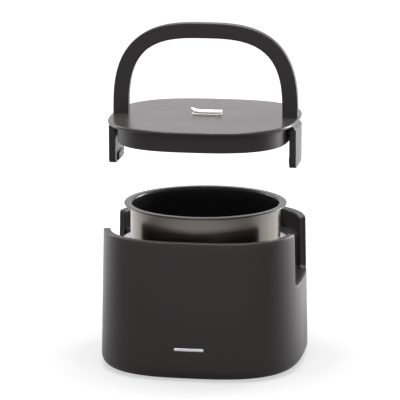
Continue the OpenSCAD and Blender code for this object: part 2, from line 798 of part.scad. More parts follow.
// Inner lid with the channel that holds the seal
module inner_lid() {
    top = lid_z - inner_lid_drop;
    under = top - inner_lid_t;
    lip = lid_z - 17;
    color("#c4c4c6") difference() {
        union() {
            translate([0, 0, under]) cylinder(r = seal_out + 1.4, h = inner_lid_t, $fn = 128);
            ring(seal_out + 1.4, seal_out + fit, lip, under + eps);
            ring(seal_in - fit, seal_in - 1.4, lip, under + eps);
        }
        translate([steam_x, vent_y, under - 1]) cylinder(r = steam_r, h = 5, $fn = arc);
        for (q = [45:90:315]) rotate(q) translate([inner_screw_ring, 0, under - 1])
            cylinder(r = 1.5, h = 5, $fn = arc);
    }
}

module inner_lid_screws() {
    under = lid_z - inner_lid_drop - inner_lid_t;
    color("#a9abad") for (q = [45:90:315]) rotate(q) translate([inner_screw_ring, 0, under - 1.4])
        screw(1.25, inner_lid_t + 5, 2.6, 1.4);
}

// Silicone seal, a ring with a thinner lip towards the pot's rim
module lid_seal() {
    color("#e2dfda") union() {
        ring(seal_out, seal_in, lid_z - seal_top - 2.4, lid_z - seal_top + 1);
        ring(seal_out - 1.2, seal_out - 3.4, lid_z - seal_bottom, lid_z - seal_top);
        ring(seal_in + 2.2, seal_in, lid_z - seal_bottom, lid_z - seal_top);
    }
}

// Steam vent

// Moulded silicone seat under the flap: a strip on the lid, a tube down to the inner lid, two ears
module vent_seat() {
    w = flap_w - 0.4;
    end = flap_pin_x + flap_ear_r;
    tip = vent_x - flap_l / 2 + 0.3 + w / 2;
    color("#e9e7e3") difference() {
        union() {
            translate([tip, vent_y, lid_z]) cylinder(d = w, h = seat_t, $fn = arc);
            block([tip, vent_y - w / 2, lid_z], [end, vent_y + w / 2, lid_z + seat_t]);
            translate([steam_x, vent_y, lid_z - inner_lid_drop])
                cylinder(r = steam_r + 1.6, h = inner_lid_drop + eps, $fn = arc);
            for (s = [-1, 1]) translate([flap_pin_x, vent_y + s * (w - flap_ear_t) / 2, lid_z]) {
                block([-flap_ear_r, -flap_ear_t / 2, 0], [flap_ear_r, flap_ear_t / 2, flap_pin_z - lid_z]);
                translate([0, 0, flap_pin_z - lid_z]) rotate([90, 0, 0])
                    cylinder(r = flap_ear_r, h = flap_ear_t, center = true, $fn = arc);
            }
        }
        translate([steam_x, vent_y, lid_z - 30]) cylinder(r = steam_r, h = 60, $fn = arc);
        translate([flap_pin_x, vent_y, flap_pin_z]) rotate([90, 0, 0])
            cylinder(r = flap_pin_r + pin_play, h = 40, center = true, $fn = arc);
    }
}

// Silicone flap with a tip that curls up, narrower between the ears, where it has its trunnions
module vent_flap() {
    reach = flap_l - flap_t / 2;
    bends = [0:0.25:1];
    neck = (flap_w - 0.4) / 2 - flap_ear_t - fit;
    color("#efedea") translate([flap_pin_x, vent_y, flap_pin_z]) union() {
        difference() {
            intersection() {
                rotate([90, 0, 0]) linear_extrude(flap_w, center = true) {
                    circle(d = flap_t, $fn = arc);
                    polygon([[0, -flap_t / 2], [0, flap_t / 2],
                             for (s = bends)
                                 [tip_l * (1 - s) - reach, tip_rise * s * s + flap_t * (0.5 - 0.2 * s)],
                             for (s = bends)
                                 [tip_l * s - reach, tip_rise * (1 - s) * (1 - s) - flap_t * (0.3 + 0.2 * s)]]);
                }
                linear_extrude(20, center = true) union() {
                    translate([-reach + flap_w / 2, 0]) circle(d = flap_w, $fn = arc);
                    translate([-reach + flap_w / 2, -flap_w / 2]) square([flap_l, flap_w]);
                }
            }
            for (s = [0, 1]) mirror([0, s, 0]) block([-flap_ear_r - fit, neck, -5], [5, 9, 5]);
        }
        rotate([90, 0, 0]) cylinder(r = flap_pin_r, h = flap_w - 0.6, center = true, $fn = arc);
    }
}

// Handle

// Point on the middle line of the handle's arch, q from 0 at the left foot to 180 at the right
function arch_point(q) =
    let (a = (handle_w - handle_band) / 2, h = handle_h - handle_band / 2, p = 2 / handle_squareness)
    [-a * sign(cos(q)) * pow(abs(cos(q)), p), h * pow(abs(sin(q)), p)];
arch_angles = [0, 1.5, 5, 10, 16, 23, 30, 37, 43, 48, 54, 61, 69, 79, 85, 90,
               95, 101, 111, 119, 126, 132, 137, 143, 150, 157, 164, 170, 175, 178.5, 180];

// Rounded band swept along the arch
module handle_band_solid() {
    m = 16;
    n = len(arch_angles);
    function along(i) =
        let (before = arch_point(arch_angles[max(i - 1, 0)]), after = arch_point(arch_angles[min(i + 1, n - 1)]))
        (after - before) / norm(after - before);
    function ring_points(i) =
        let (c = arch_point(arch_angles[i]),
             ends = i == 0 || i == n - 1,
             d = ends ? [0, i == 0 ? 1 : -1] : along(i))
        [for (k = [0:m - 1])
            let (t = 360 * k / m,
                 u = handle_band / 2 * sign(cos(t)) * pow(abs(cos(t)), 0.35),
                 v = handle_t / 2 * sign(sin(t)) * pow(abs(sin(t)), 0.35))
            [c[0] - u * d[1], v, c[1] + u * d[0]]];
    points = [for (i = [0:n - 1]) each ring_points(i)];
    sides = [for (i = [0:n - 2]) for (k = [0:m - 1])
        let (j = (k + 1) % m)
        each [[i * m + k, (i + 1) * m + k, (i + 1) * m + j], [i * m + k, (i + 1) * m + j, i * m + j]]];
    polyhedron(points, concat([[for (k = [0:m - 1]) k], [for (k = [m - 1:-1:0]) (n - 1) * m + k]], sides),
               convexity = 6);
}

module handle() {
    color("#262425") translate([0, 0, lid_z]) difference() {
        handle_band_solid();
        both_sides() translate([handle_screw_x, 0, -1]) cylinder(r = handle_screw_r + fit, h = 14, $fn = 24);
    }
}

module handle_screws() {
    head_h = 2;
    color("#a9abad") both_sides() translate([handle_screw_x, 0, lid_z - lid_t - web_t - head_h])
        screw(handle_screw_r, lid_t + web_t + 10, 2.3, head_h);
}

// Latches

// Section of the right latch across the box: lever, slanted top, hook and lead-in
module latch_section() {
    top = -latch_top;
    hook_top = -(latch_drop - hook_h);
    polygon([[latch_out, -latch_drop + 1], [latch_out, top - 4.3], [latch_out - 3.5, top], [latch_pin_x - 0.3, top],
             [latch_in, top - 4.9], [latch_in, hook_top + 1], [latch_in - hook_in, hook_top],
             [latch_in - hook_in, -latch_drop + 2.5], [latch_in, -latch_drop], [latch_out - 1, -latch_drop]]);
}

// Slot that clears an ear or the spring at some place along the pin
module latch_slot(y0, y1) {
    translate([0, y1, -latch_pin_drop]) rotate([90, 0, 0]) linear_extrude(y1 - y0) {
        translate([latch_pin_x, 0]) circle(r = ear_r + gap, $fn = arc);
        translate([latch_in - 3, -ear_r - 2.9]) square([5, latch_pin_drop - latch_top + ear_r + 3.7]);
    }
}

module latch() {
    corner = 5;
    half = latch_w / 2;
    translate([0, 0, lid_z]) difference() {
        intersection() {
            translate([0, half, 0]) rotate([90, 0, 0]) linear_extrude(latch_w) latch_section();
            union() {
                block([0, -half, -latch_drop + corner], [latch_out + 5, half, 0]);
                block([0, -half + corner, -latch_drop - 1], [latch_out + 5, half - corner, 0]);
                for (s = [-1, 1]) translate([0, s * (half - corner), -latch_drop + corner]) rotate([0, 90, 0])
                    cylinder(r = corner, h = latch_out + 5, $fn = arc);
            }
        }
        for (s = [0, 1]) mirror([0, s, 0])
            block([0, hook_w / 2, -latch_drop - 1], [latch_in, half + 1, 0]);
        for (s = [-1, 1]) latch_slot(s * ear_y - ear_t / 2 - gap, s * ear_y + ear_t / 2 + gap);
        latch_slot(-spring_slot, spring_slot);
        translate([latch_pin_x, 0, -latch_pin_drop]) rotate([90, 0, 0])
            cylinder(r = latch_pin_r + pin_play, h = latch_w - 6, center = true, $fn = arc);
    }
}

module latch_right() {
    color("#2e2b2c") latch();
}

module latch_left() {
    color("#2e2b2c") mirror([1, 0, 0]) latch();
}

module latch_pins() {
    color("#b7b9bb") both_sides() translate([latch_pin_x, 0, lid_z - latch_pin_drop]) rotate([90, 0, 0])
        cylinder(r = latch_pin_r, h = latch_w - 7, center = true, $fn = arc);
}

// Torsion springs on the pins: a wound sleeve, one leg to the skirt and one behind the tab
module latch_springs() {
    wire_r = 0.3;
    z = lid_z - latch_pin_drop;
    leg_x = skirt_w / 2 + 0.1 + wire_r;
    color("#c2c4c6") both_sides() {
        translate([latch_pin_x, 0, z]) rotate([90, 0, 0]) difference() {
            cylinder(r = ear_r - 0.4, h = 8, center = true, $fn = arc);
            cylinder(r = latch_pin_r + 0.1, h = 9, center = true, $fn = arc);
        }
        wire([[latch_pin_x - 1.7, 3, z - 0.6], [leg_x, 3, z - 3.4], [leg_x, 3, z - 8]], wire_r);
        wire([[latch_pin_x - 1.7, -3, z + 0.6], [leg_x, -3, z + 2.2], [leg_x, -3, z + 4]], wire_r);
    }
}

body_shell();
base_cover();
rubber_feet();
base_screws();
top_deck();
well_gasket();
heating_well();
insulation_band();
heating_plate();
heating_element();
thermostat();
thermostat_clip();
clip_screws();
thermal_fuse();
heat_shield();
shield_spacers();
control_board();
board_components();
board_screws();
light_lens();
led_board();
power_inlet();
inlet_pins();
latch_catches();
catch_screws();
mains_leads();
element_leads();
cooking_pot();
lid_plate();
lid_frame();
inner_lid();
inner_lid_screws();
lid_seal();
vent_seat();
vent_flap();
handle();
handle_screws();
latch_left();
latch_right();
latch_pins();
latch_springs();
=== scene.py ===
import math

import bmesh
import bpy
import numpy as np
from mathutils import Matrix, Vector

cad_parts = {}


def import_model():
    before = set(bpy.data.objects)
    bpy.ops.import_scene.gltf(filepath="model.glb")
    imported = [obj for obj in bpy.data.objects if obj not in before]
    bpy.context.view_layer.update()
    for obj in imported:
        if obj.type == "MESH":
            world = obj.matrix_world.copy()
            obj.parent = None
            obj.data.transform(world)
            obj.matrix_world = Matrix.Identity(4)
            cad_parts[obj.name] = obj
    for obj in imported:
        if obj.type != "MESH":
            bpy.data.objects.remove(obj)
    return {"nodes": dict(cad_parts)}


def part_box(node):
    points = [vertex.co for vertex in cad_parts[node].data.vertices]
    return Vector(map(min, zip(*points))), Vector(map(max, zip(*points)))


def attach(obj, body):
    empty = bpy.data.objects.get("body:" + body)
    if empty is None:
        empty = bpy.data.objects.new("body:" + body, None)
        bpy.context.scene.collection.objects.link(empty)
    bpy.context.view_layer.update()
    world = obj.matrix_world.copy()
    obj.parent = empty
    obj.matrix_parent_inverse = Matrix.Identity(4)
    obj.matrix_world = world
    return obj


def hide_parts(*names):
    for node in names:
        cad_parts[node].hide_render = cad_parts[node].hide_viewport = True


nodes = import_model()["nodes"]
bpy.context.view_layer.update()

# Camera and studio
# A long lens looks a little down and a little from the right. The studio is a white sweep under
# one large softbox, with one behind at each side, a strip over the front and a weak front fill.

view_azimuth, view_elevation = math.radians(9.2), math.radians(11.9)
view_distance, view_height = 2.6, 0.150
pixels_per_mm, frame_pixels, sensor_width = 1.065, 400, 36

lens = bpy.data.cameras.new("camera")
lens.sensor_width = sensor_width
lens.lens = pixels_per_mm * view_distance * 1000 * sensor_width / frame_pixels
lens.shift_x, lens.shift_y = -0.0138, 0.0021
lens.clip_start, lens.clip_end = 0.1, 60
camera = bpy.data.objects.new("camera", lens)
bpy.context.scene.collection.objects.link(camera)
bpy.context.scene.camera = camera
to_camera = Vector((math.sin(view_azimuth) * math.cos(view_elevation),
                    -math.cos(view_azimuth) * math.cos(view_elevation),
                    math.sin(view_elevation)))
camera.location = Vector((0, 0, view_height)) + to_camera * view_distance
camera.rotation_euler = to_camera.to_track_quat("Z", "Y").to_euler()
bpy.context.scene.view_settings.view_transform = "Standard"


def linear(hex_colour):
    """An sRGB hex colour as linear red, green, blue and alpha."""
    parts = [int(hex_colour[i:i + 2], 16) / 255 for i in (1, 3, 5)]
    return tuple(p / 12.92 if p <= 0.04045 else ((p + 0.055) / 1.055) ** 2.4 for p in parts) + (1,)


def add_node(tree, kind, settings=None, links=None):
    """A shader node. Settings are its attributes or inputs. Links give an input the output that it
    takes, or the node whose first output it takes."""
    node = tree.nodes.new("ShaderNode" + kind)
    for key, value in (settings or {}).items():
        if isinstance(key, str) and hasattr(node, key):
            setattr(node, key, value)
        else:
            node.inputs[key].default_value = value
    for key, source in (links or {}).items():
        tree.links.new(getattr(source, "outputs", [source])[0], node.inputs[key])
    return node


def new_material(name):
    """A material, its empty node tree, and the place on the object that its patterns follow."""
    material = bpy.data.materials.new(name)
    material.use_nodes = True
    tree = material.node_tree
    tree.nodes.clear()
    return material, tree, add_node(tree, "TexCoord").outputs["Object"]


def smooth(mesh):
    """Shades a mesh smooth, except where its faces meet at more than 32 degrees."""
    for polygon in mesh.polygons:
        polygon.use_smooth = True
    mesh.set_sharp_from_angle(angle=math.radians(32))


def new_object(name, points, faces):
    """A smooth mesh object from points in metres."""
    mesh = bpy.data.meshes.new(name)
    mesh.from_pydata(points, [], faces)
    work = bmesh.new()
    work.from_mesh(mesh)
    bmesh.ops.remove_doubles(work, verts=work.verts, dist=1e-7)
    bmesh.ops.recalc_face_normals(work, faces=work.faces)
    work.to_mesh(mesh)
    work.free()
    smooth(mesh)
    obj = bpy.data.objects.new(name, mesh)
    bpy.context.scene.collection.objects.link(obj)
    return obj


world = bpy.data.worlds.new("studio")
bpy.context.scene.world = world
world.use_nodes = True
tree = world.node_tree
tree.nodes.clear()
path = add_node(tree, "LightPath")
seen = add_node(tree, "Math", {"operation": "MAXIMUM"},
                {0: path.outputs["Is Camera Ray"], 1: path.outputs["Is Transmission Ray"]})
seen = add_node(tree, "Math", {"operation": "MAXIMUM"}, {0: seen, 1: path.outputs["Is Glossy Ray"]})
room_light = add_node(tree, "Background", {"Color": linear("#ffffff"), "Strength": 0.45})
backdrop = add_node(tree, "Background", {"Color": linear("#ffffff"), "Strength": 1.0})
both = add_node(tree, "MixShader", {}, {0: seen, 1: room_light, 2: backdrop})
add_node(tree, "OutputWorld", {}, {"Surface": both})

# Paper: matt, drawn mid grey. It is lifted to white for the camera, less so near the box, where its
# shadow lies, and lifted in reflections too, except in a band just before the box, which is left
# dark as painted shade so that the lower front of the box reflects it darker. In metres.
floor_reach = 20
corners = [(-floor_reach, -floor_reach, 0), (floor_reach, -floor_reach, 0),
           (floor_reach, floor_reach, 0), (-floor_reach, floor_reach, 0)]
floor = new_object("floor", corners, [(0, 1, 2, 3)])
white_paper, tree, place = new_material("white_sweep_paper")
path = add_node(tree, "LightPath")
parts = add_node(tree, "SeparateXYZ", {}, {0: place})
away = add_node(tree, "VectorMath", {"operation": "LENGTH"}, {0: place})
far = add_node(tree, "MapRange", {"From Min": 0.12, "From Max": 0.45, "To Min": 0.58, "To Max": 1.0},
               {"Value": away.outputs["Value"]})
behind = add_node(tree, "MapRange", {"From Min": -0.15, "From Max": 0.30, "To Min": 0.0, "To Max": 0.85},
                  {"Value": parts.outputs["Y"]})
# Painted shade: the lift in reflections fades out short of the box and leaves a dark band before it
before = add_node(tree, "MapRange", {"From Min": -0.65, "From Max": -0.28, "To Min": 0.30, "To Max": 0.0},
                  {"Value": parts.outputs["Y"]})
mirrored = add_node(tree, "Math", {"operation": "ADD"}, {0: behind, 1: before})
for_eye = add_node(tree, "Math", {"operation": "MULTIPLY"}, {0: path.outputs["Is Camera Ray"], 1: far})
for_gloss = add_node(tree, "Math", {"operation": "MULTIPLY"},
                     {0: path.outputs["Is Glossy Ray"], 1: mirrored})
glow = add_node(tree, "Math", {"operation": "ADD"}, {0: for_eye, 1: for_gloss})
paper = add_node(tree, "BsdfDiffuse", {"Color": linear("#808080")})
lift = add_node(tree, "Emission", {"Color": linear("#ffffff")}, {"Strength": glow})
both = add_node(tree, "AddShader", {}, {0: paper, 1: lift})
add_node(tree, "OutputMaterial", {}, {"Surface": both})
floor.data.materials.append(white_paper)


def softbox(name, place, aim, width, height, power):
    """A rectangular softbox at a place, pointing at another. In metres and watts."""
    lamp = bpy.data.lights.new(name, "AREA")
    lamp.shape = "RECTANGLE"
    lamp.size, lamp.size_y, lamp.energy = width, height, power
    obj = bpy.data.objects.new(name, lamp)
    bpy.context.scene.collection.objects.link(obj)
    obj.location = place
    obj.rotation_euler = (Vector(place) - Vector(aim)).to_track_quat("Z", "Y").to_euler()


softbox("overhead_softbox", (0.0, 0.25, 1.7), (0, 0, 0.1), 1.0, 0.7, 26.0)
softbox("left_softbox", (-1.35, 0.6, 0.7), (0, 0, 0.12), 0.6, 1.2, 8.0)
softbox("right_softbox", (1.1, 1.15, 0.45), (0, 0, 0.12), 0.5, 1.0, 20.0)
softbox("front_top_strip", (0, -0.55, 1.6), (0, 0, 0.15), 1.4, 0.35, 20.0)
softbox("front_fill", (0.3, -1.8, 1.5), (0, 0, 0.15), 1.2, 0.8, 4.0)

# Body shell
# The outer wall of the base is one moulding in polypropylene. It narrows a little to the rim, its
# foot is rounded, and each side has a notch down which the lid's tab hangs.

MM = 0.001


def span(node):
    """Lowest and highest corner of a piece, in millimetres."""
    low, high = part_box(node)
    return low / MM, high / MM


shell_low, shell_high = span("body_shell")
foot_z, rim_z = shell_low.z, shell_high.z
plan_power, draft, foot_round = 2.9, 2.5, 9.0
foot_half_w = shell_high.x + draft * foot_round / (rim_z - foot_z)
foot_half_d = foot_half_w + 2
shell_wall, cover_inset = 1.8, 12.2
notch_half, notch_floor, notch_corner, notch_ear = 39.5, 80.0, 5.0, 2.6
hole_play, hole_corner, slot_bevel = 0.3, 1.4, 0.6
inside_wall, slot_bevel_y, past_wall = 90, 96.3, 99


def half_w(z):
    """Half width of the shell at a height."""
    return foot_half_w - draft * (z - foot_z) / (rim_z - foot_z)


def half_d(z):
    """Half depth of the shell at a height."""
    return foot_half_d - draft * (z - foot_z) / (rim_z - foot_z)


# The plan is a rounded square, |x / w|^n + |y / d|^n = 1. It is walked by its length, from the
# middle of the side to the middle of the front.
turns = np.linspace(0, math.pi / 2, 20001)
plan_x = np.cos(turns).clip(0) ** (2 / plan_power)
plan_y = np.sin(turns) ** (2 / plan_power)
steps = np.hypot(np.diff(plan_x) * half_w(100), np.diff(plan_y) * half_d(100))
plan_at = np.concatenate([[0], np.cumsum(steps)])
quarter = float(plan_at[-1])


def along_plan(y, z):
    """Length along the plan at which the wall stands this far from the middle of the side."""
    return float(np.interp(y / half_d(z), plan_y, plan_at))


def arc_out(x, z, radius, start, end, count):
    """Points round a centre with their outward direction, from one angle to another in degrees."""
    angles = [math.radians(q) for q in np.linspace(start, end, count)]
    return [(x + radius * math.cos(q), z + radius * math.sin(q), math.cos(q), math.sin(q))
            for q in angles]


def arc(*shape):
    """The points of such an arc alone."""
    return [(x, z) for x, z, c, s in arc_out(*shape)]


def notch_edge(top):
    """The free edge of a notched wall over a quarter of the plan, as length, height and the
    direction that leads out of the wall: notch floor, its corner, its side, and the rim."""
    edge = [(y, notch_floor, 0, 1) for y in np.linspace(0, notch_half - notch_corner, 12)[:-1]]
    inner = arc_out(notch_half - notch_corner, notch_floor + notch_corner, notch_corner, -90, 0, 9)
    edge += [(y, z, -c, -s) for y, z, c, s in inner]
    side = np.linspace(notch_floor + notch_corner, top - notch_ear, 14)[1:-1]
    edge += [(notch_half, z, -1, 0) for z in side]
    edge += arc_out(notch_half + notch_ear, top - notch_ear, notch_ear, 180, 90, 8)
    edge = [(along_plan(y, z), z, na, nz) for y, z, na, nz in edge]
    return edge + [(at, top, 0, 1) for at in np.linspace(edge[-1][0], quarter, 46)[1:]]


def rounding(radius, count):
    """Steps over a rounded edge: how far below the edge, and how far in from the face."""
    angles = np.linspace(0, math.pi / 2, count)
    return [(radius * (1 - math.sin(q)), radius * (1 - math.cos(q))) for q in angles]


def notched_wall(name, top, low, inset, wall, outer_round, inner_round, foot=0.0):
    """A wall on the body's plan, open upwards, with both notches and its free edge rounded. Its
    outer face lies the inset inside the shell's. A foot radius adds the foot and its underside."""
    edge = notch_edge(top)
    side = [i for i, e in enumerate(edge) if notch_floor + 0.01 < e[1] < top - 0.001]
    ear_end = edge[side[-1] + 1][0]
    # Below the notch's upright side the columns fan out, and they are upright again before the front
    even_from, fan = quarter - 48, 26.0
    columns = []
    for i, (at, z, na, nz) in enumerate(edge):
        below = at
        if i in side:
            below = at + fan * (side.index(i) + 1) / (len(side) + 1)
        elif z > top - 0.001 and at < even_from:
            squeeze = (even_from - ear_end - fan) / (even_from - ear_end)
            below = ear_end + fan + (at - ear_end) * squeeze
        bend_z = low + foot
        outer, inner = rounding(outer_round, 6), rounding(inner_round, 5)
        start, end = outer[0][0], inner[0][0]
        column = [(below, low, 0)]
        if foot:
            angles = np.linspace(0, math.pi / 2, 12)
            column = [(below, low + wall, cover_inset), (below, low, cover_inset)]
            column += [(below, low + foot * (1 - math.cos(q)), foot * (1 - math.sin(q)))
                       for q in angles]
        column += [(below + (at - na * start - below) * w, bend_z + (z - nz * start - bend_z) * w, 0)
                   for w in np.linspace(0, 1, 22)[1:-1]]
        column += [(at - na * down, z - nz * down, off) for down, off in outer]
        column += [(at - na * down, z - nz * down, wall - off) for down, off in reversed(inner)]
        column += [(below + (at - na * end - below) * w, bend_z + (z - nz * end - bend_z) * w, wall)
                   for w in np.linspace(1, 0, 14)[1:]]
        if foot:
            small, angles = foot - wall, np.linspace(math.pi / 2, 0, 6)[1:]
            column += [(below, low + foot - small * math.cos(q), foot - small * math.sin(q))
                       for q in angles]
        columns.append(column)
    points = []
    for sx, sy, forward in ((1, -1, True), (-1, -1, False), (-1, 1, True), (1, 1, False)):
        for column in columns[:-1] if forward else columns[:0:-1]:
            for at, z, off in column:
                x = float(np.interp(at, plan_at, plan_x)) * (half_w(z) - inset - off)
                y = float(np.interp(at, plan_at, plan_y)) * (half_d(z) - inset - off)
                points.append((sx * x * MM, sy * y * MM, z * MM))
    count = len(columns[0])
    total = len(points) // count
    faces = []
    for i in range(total):
        a, b = i * count, (i + 1) % total * count
        faces += [(a + k, b + k, b + (k + 1) % count, a + (k + 1) % count) for k in range(count)]
    return new_object(name, points, faces)


def join_rings(rings, closed=False):
    """Points in metres and faces through equal rings in millimetres. Unless the rings are closed
    to a loop, both ends are capped."""
    count, total = len(rings[0]), len(rings)
    faces = []
    for r in range(total if closed else total - 1):
        a, b = r * count, (r + 1) % total * count
        faces += [(a + k, a + (k + 1) % count, b + (k + 1) % count, b + k) for k in range(count)]
    if not closed:
        faces += [tuple(range(count))[::-1], tuple(range((total - 1) * count, total * count))]
    return [(x * MM, y * MM, z * MM) for ring in rings for x, y, z in ring], faces


def keep_modified(obj):
    """Puts the result of an object's modifiers in its mesh."""
    depsgraph = bpy.context.evaluated_depsgraph_get()
    old, mesh = obj.data, bpy.data.meshes.new_from_object(obj.evaluated_get(depsgraph))
    obj.modifiers.clear()
    obj.data = mesh
    bpy.data.meshes.remove(old)
    smooth(mesh)


def cut_away(obj, shape):
    """Cuts a closed shape out of an object and keeps the result in its mesh."""
    tool = new_object("cutter", *shape)
    change = obj.modifiers.new("cut", "BOOLEAN")
    change.operation, change.solver, change.object = "DIFFERENCE", "EXACT", tool
    keep_modified(obj)
    bpy.data.objects.remove(tool)


def along_y(outline_at, levels):
    """A closed shape lofted along Y. Levels give its place and how far the outline is drawn in."""
    return join_rings([[(x, y, z) for x, z in outline_at(draw_in)] for y, draw_in in levels])


def bar_outline(z, width, height):
    """Outline of a round-ended bar at a height, for a given draw-in."""
    def outline(draw_in):
        r, reach = height / 2 - draw_in, (width - height) / 2
        right = [(reach + r * math.sin(q), -r * math.cos(q)) for q in np.linspace(0, math.pi, 14)]
        return [(x, z + h) for x, h in right + [(-x, -h) for x, h in right]]
    return outline


def box_outline(z, width, height, radius):
    """Outline of a rectangle with round corners at a height, for a given draw-in."""
    def outline(draw_in):
        reach_x, reach_z, r = width / 2 - radius, height / 2 - radius, max(radius - draw_in, 0.05)
        points = []
        for sx, sz, start in ((1, -1, -90), (1, 1, 0), (-1, 1, 90), (-1, -1, 180)):
            points += arc(sx * reach_x, z + sz * reach_z, r, start, start + 90, 6)
        return points
    return outline


light_low, light_high = span("light_lens")
light_z = (light_low.z + light_high.z) / 2
light_w, light_h = 27.7, 2.8
light_slot = bar_outline(light_z, light_w + hole_play, light_h + hole_play)
inlet_low, inlet_high = span("power_inlet")
inlet_z, inlet_face = (inlet_low.z + inlet_high.z) / 2, inlet_high.y
inlet_w, inlet_h = inlet_high.x - inlet_low.x, inlet_high.z - inlet_low.z
inlet_hole = box_outline(inlet_z, inlet_w + hole_play, inlet_h + hole_play, hole_corner)

shell = notched_wall("body_moulding", rim_z, foot_z, 0, shell_wall, outer_round=1.1,
                     inner_round=0.25, foot=foot_round)
cut_away(shell, along_y(light_slot, [(-past_wall, -slot_bevel), (-slot_bevel_y, 0), (-inside_wall, 0)]))
cut_away(shell, along_y(inlet_hole, [(inside_wall, 0), (past_wall, 0)]))


def varied(tree, colour, pattern, low, high, pattern_low=0.3, pattern_high=0.7):
    """A colour that goes from dark to light along a pattern."""
    shade = add_node(tree, "MapRange",
                     {"From Min": pattern_low, "From Max": pattern_high, "To Min": low, "To Max": high},
                     {"Value": pattern})
    tint = add_node(tree, "VectorMath", {"operation": "SCALE", 0: linear(colour)[:3]}, {"Scale": shade})
    return tint


def moulded_plastic(name, colour, roughness, grain, depth, ior=1.45):
    """Polypropylene from a spark-eroded tool: satin, with a fine grain, and with gloss that is
    uneven over 42 mm, as the melt flowed. Grain and depth are in millimetres. The real grain,
    0.1 mm, is drawn coarser so that it shows."""
    material, tree, place = new_material(name)
    pits = add_node(tree, "TexNoise", {"Scale": 1 / (grain * MM), "Detail": 3.0, "Roughness": 0.6},
                    {"Vector": place})
    flow = add_node(tree, "TexNoise", {"Scale": 1 / (42 * MM), "Detail": 2.0}, {"Vector": place})
    gloss = add_node(tree, "MapRange", {"To Min": roughness - 0.04, "To Max": roughness + 0.04},
                     {"Value": flow})
    bump = add_node(tree, "Bump", {"Strength": 0.4, "Distance": depth * MM}, {"Height": pits})
    tint = varied(tree, colour, pits, 0.93, 1.07)
    shader = add_node(tree, "BsdfPrincipled", {"IOR": ior},
                      {"Base Color": tint, "Roughness": gloss, "Normal": bump})
    add_node(tree, "OutputMaterial", {}, {"Surface": shader})
    return material


def fit_out(pieces, material, body, node):
    """Gives pieces their material and body, and hides the CAD's node that they stand for."""
    for obj in pieces:
        obj.data.materials.append(material)
        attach(obj, body)
    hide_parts(node)


# Polypropylene with a charcoal pigment: warm near black and satin, with an even erosion grain
charcoal_polypropylene = moulded_plastic("charcoal_polypropylene", "#282223", 0.34, 0.5, 0.02)
fit_out([shell], charcoal_polypropylene, "base", "body_shell")

# Inner moulding
# A second polypropylene moulding lines the rim, carries the deck round the well and has a pocket
# behind each notch. It is pressed into the shell, and a fine joint shows on top of the rim.

collar_inset, collar_wall, collar_top = 1.95, 4.5, rim_z - 0.2
deck_z, deck_wall, well_hole = 112.0, 2.5, 72.6
pocket_x, pocket_wall, pocket_corner, pocket_fillet = 76.2, 2.0, 2.0, 1.6
tuck, tuck_down = 0.4, 0.05
collar = notched_wall("rim_collar", collar_top, notch_floor - 2, collar_inset, collar_wall,
                      outer_round=0.25, inner_round=1.2)


def pocket_path(side, out):
    """Plan of a pocket's wall, drawn out from the pocket, from one end of the notch to the other."""
    far, r = half_w(deck_z) - collar_inset - collar_wall + 1, pocket_corner + out
    x, y = pocket_x + pocket_corner, notch_half - pocket_corner
    angles = np.linspace(0, math.pi / 2, 8)
    path = [(far, -notch_half - out)]
    path += [(x - r * math.sin(q), -y - r * math.cos(q)) for q in angles]
    path += [(x - r * math.cos(q), y + r * math.sin(q)) for q in angles]
    path += [(far, notch_half + out)]
    return [(side * a, side * b) for a, b in path]


# The deck is a flat plate round the well's hole, cut back at both pockets
edge_w = half_w(deck_z) - collar_inset - collar_wall + 1
edge_d = half_d(deck_z) - collar_inset - collar_wall + 1
border = [(edge_w * math.copysign(abs(math.cos(q)) ** (2 / plan_power), math.cos(q)),
           edge_d * math.copysign(abs(math.sin(q)) ** (2 / plan_power), math.sin(q)))
          for q in np.radians(np.linspace(-180, 180, 361)[:-1])]
border = [p for p in border if not (abs(p[0]) > pocket_x and abs(p[1]) < notch_half + tuck + 0.1)]
front = [p for p in border if p[1] < 0]
back = [p for p in border if p[1] > 0]
plate_ring = front + pocket_path(1, tuck) + back + pocket_path(-1, tuck)
work = bmesh.new()
rings = [[work.verts.new((x * MM, y * MM, deck_z * MM)) for x, y in plate_ring],
         [work.verts.new((well_hole * MM * math.cos(q), well_hole * MM * math.sin(q), deck_z * MM))
          for q in np.radians(np.linspace(0, 360, 181)[:-1])]]
edges = [work.edges.new((ring[i], ring[(i + 1) % len(ring)]))
         for ring in rings for i in range(len(ring))]
bmesh.ops.triangle_fill(work, edges=edges, use_beauty=True)
grown = bmesh.ops.extrude_face_region(work, geom=work.faces[:])
below = [v for v in grown["geom"] if isinstance(v, bmesh.types.BMVert)]
bmesh.ops.translate(work, verts=below, vec=(0, 0, -deck_wall * MM))
bmesh.ops.recalc_face_normals(work, faces=work.faces)
mesh = bpy.data.meshes.new("deck_plate")
work.to_mesh(mesh)
work.free()
deck = bpy.data.objects.new("deck_plate", mesh)
bpy.context.scene.collection.objects.link(deck)


def pocket_tray(name, side):
    """A pocket: floor, fillet and walls with an eased lip, open outwards and upwards."""
    floor_z, lip = notch_floor - 0.02, deck_z - tuck_down
    rows = [(-down, floor_z + off) for down, off in rounding(pocket_fillet, 7)]
    rows += [(0, z) for z in np.linspace(floor_z + 6, deck_z - 0.4, 5)]
    rows += [(0.05, deck_z - 0.2), (0.2, deck_z - 0.02), (tuck, deck_z), (tuck + 0.1, lip)]
    rows += [(pocket_wall, lip), (pocket_wall, floor_z - 2)]
    rings = [[(x * MM, y * MM, z * MM) for x, y in pocket_path(side, out)] for out, z in rows]
    count = len(rings[0])
    faces = []
    for r in range(len(rings) - 1):
        a, b = r * count, (r + 1) * count
        faces += [(a + k, a + k + 1, b + k + 1, b + k) for k in range(count - 1)]
    last = (len(rings) - 1) * count
    faces += [tuple(range(count)), tuple(range(last, last + count))]
    return new_object(name, [p for ring in rings for p in ring], faces)


inner_parts = [collar, deck, pocket_tray("pocket_right", 1), pocket_tray("pocket_left", -1)]

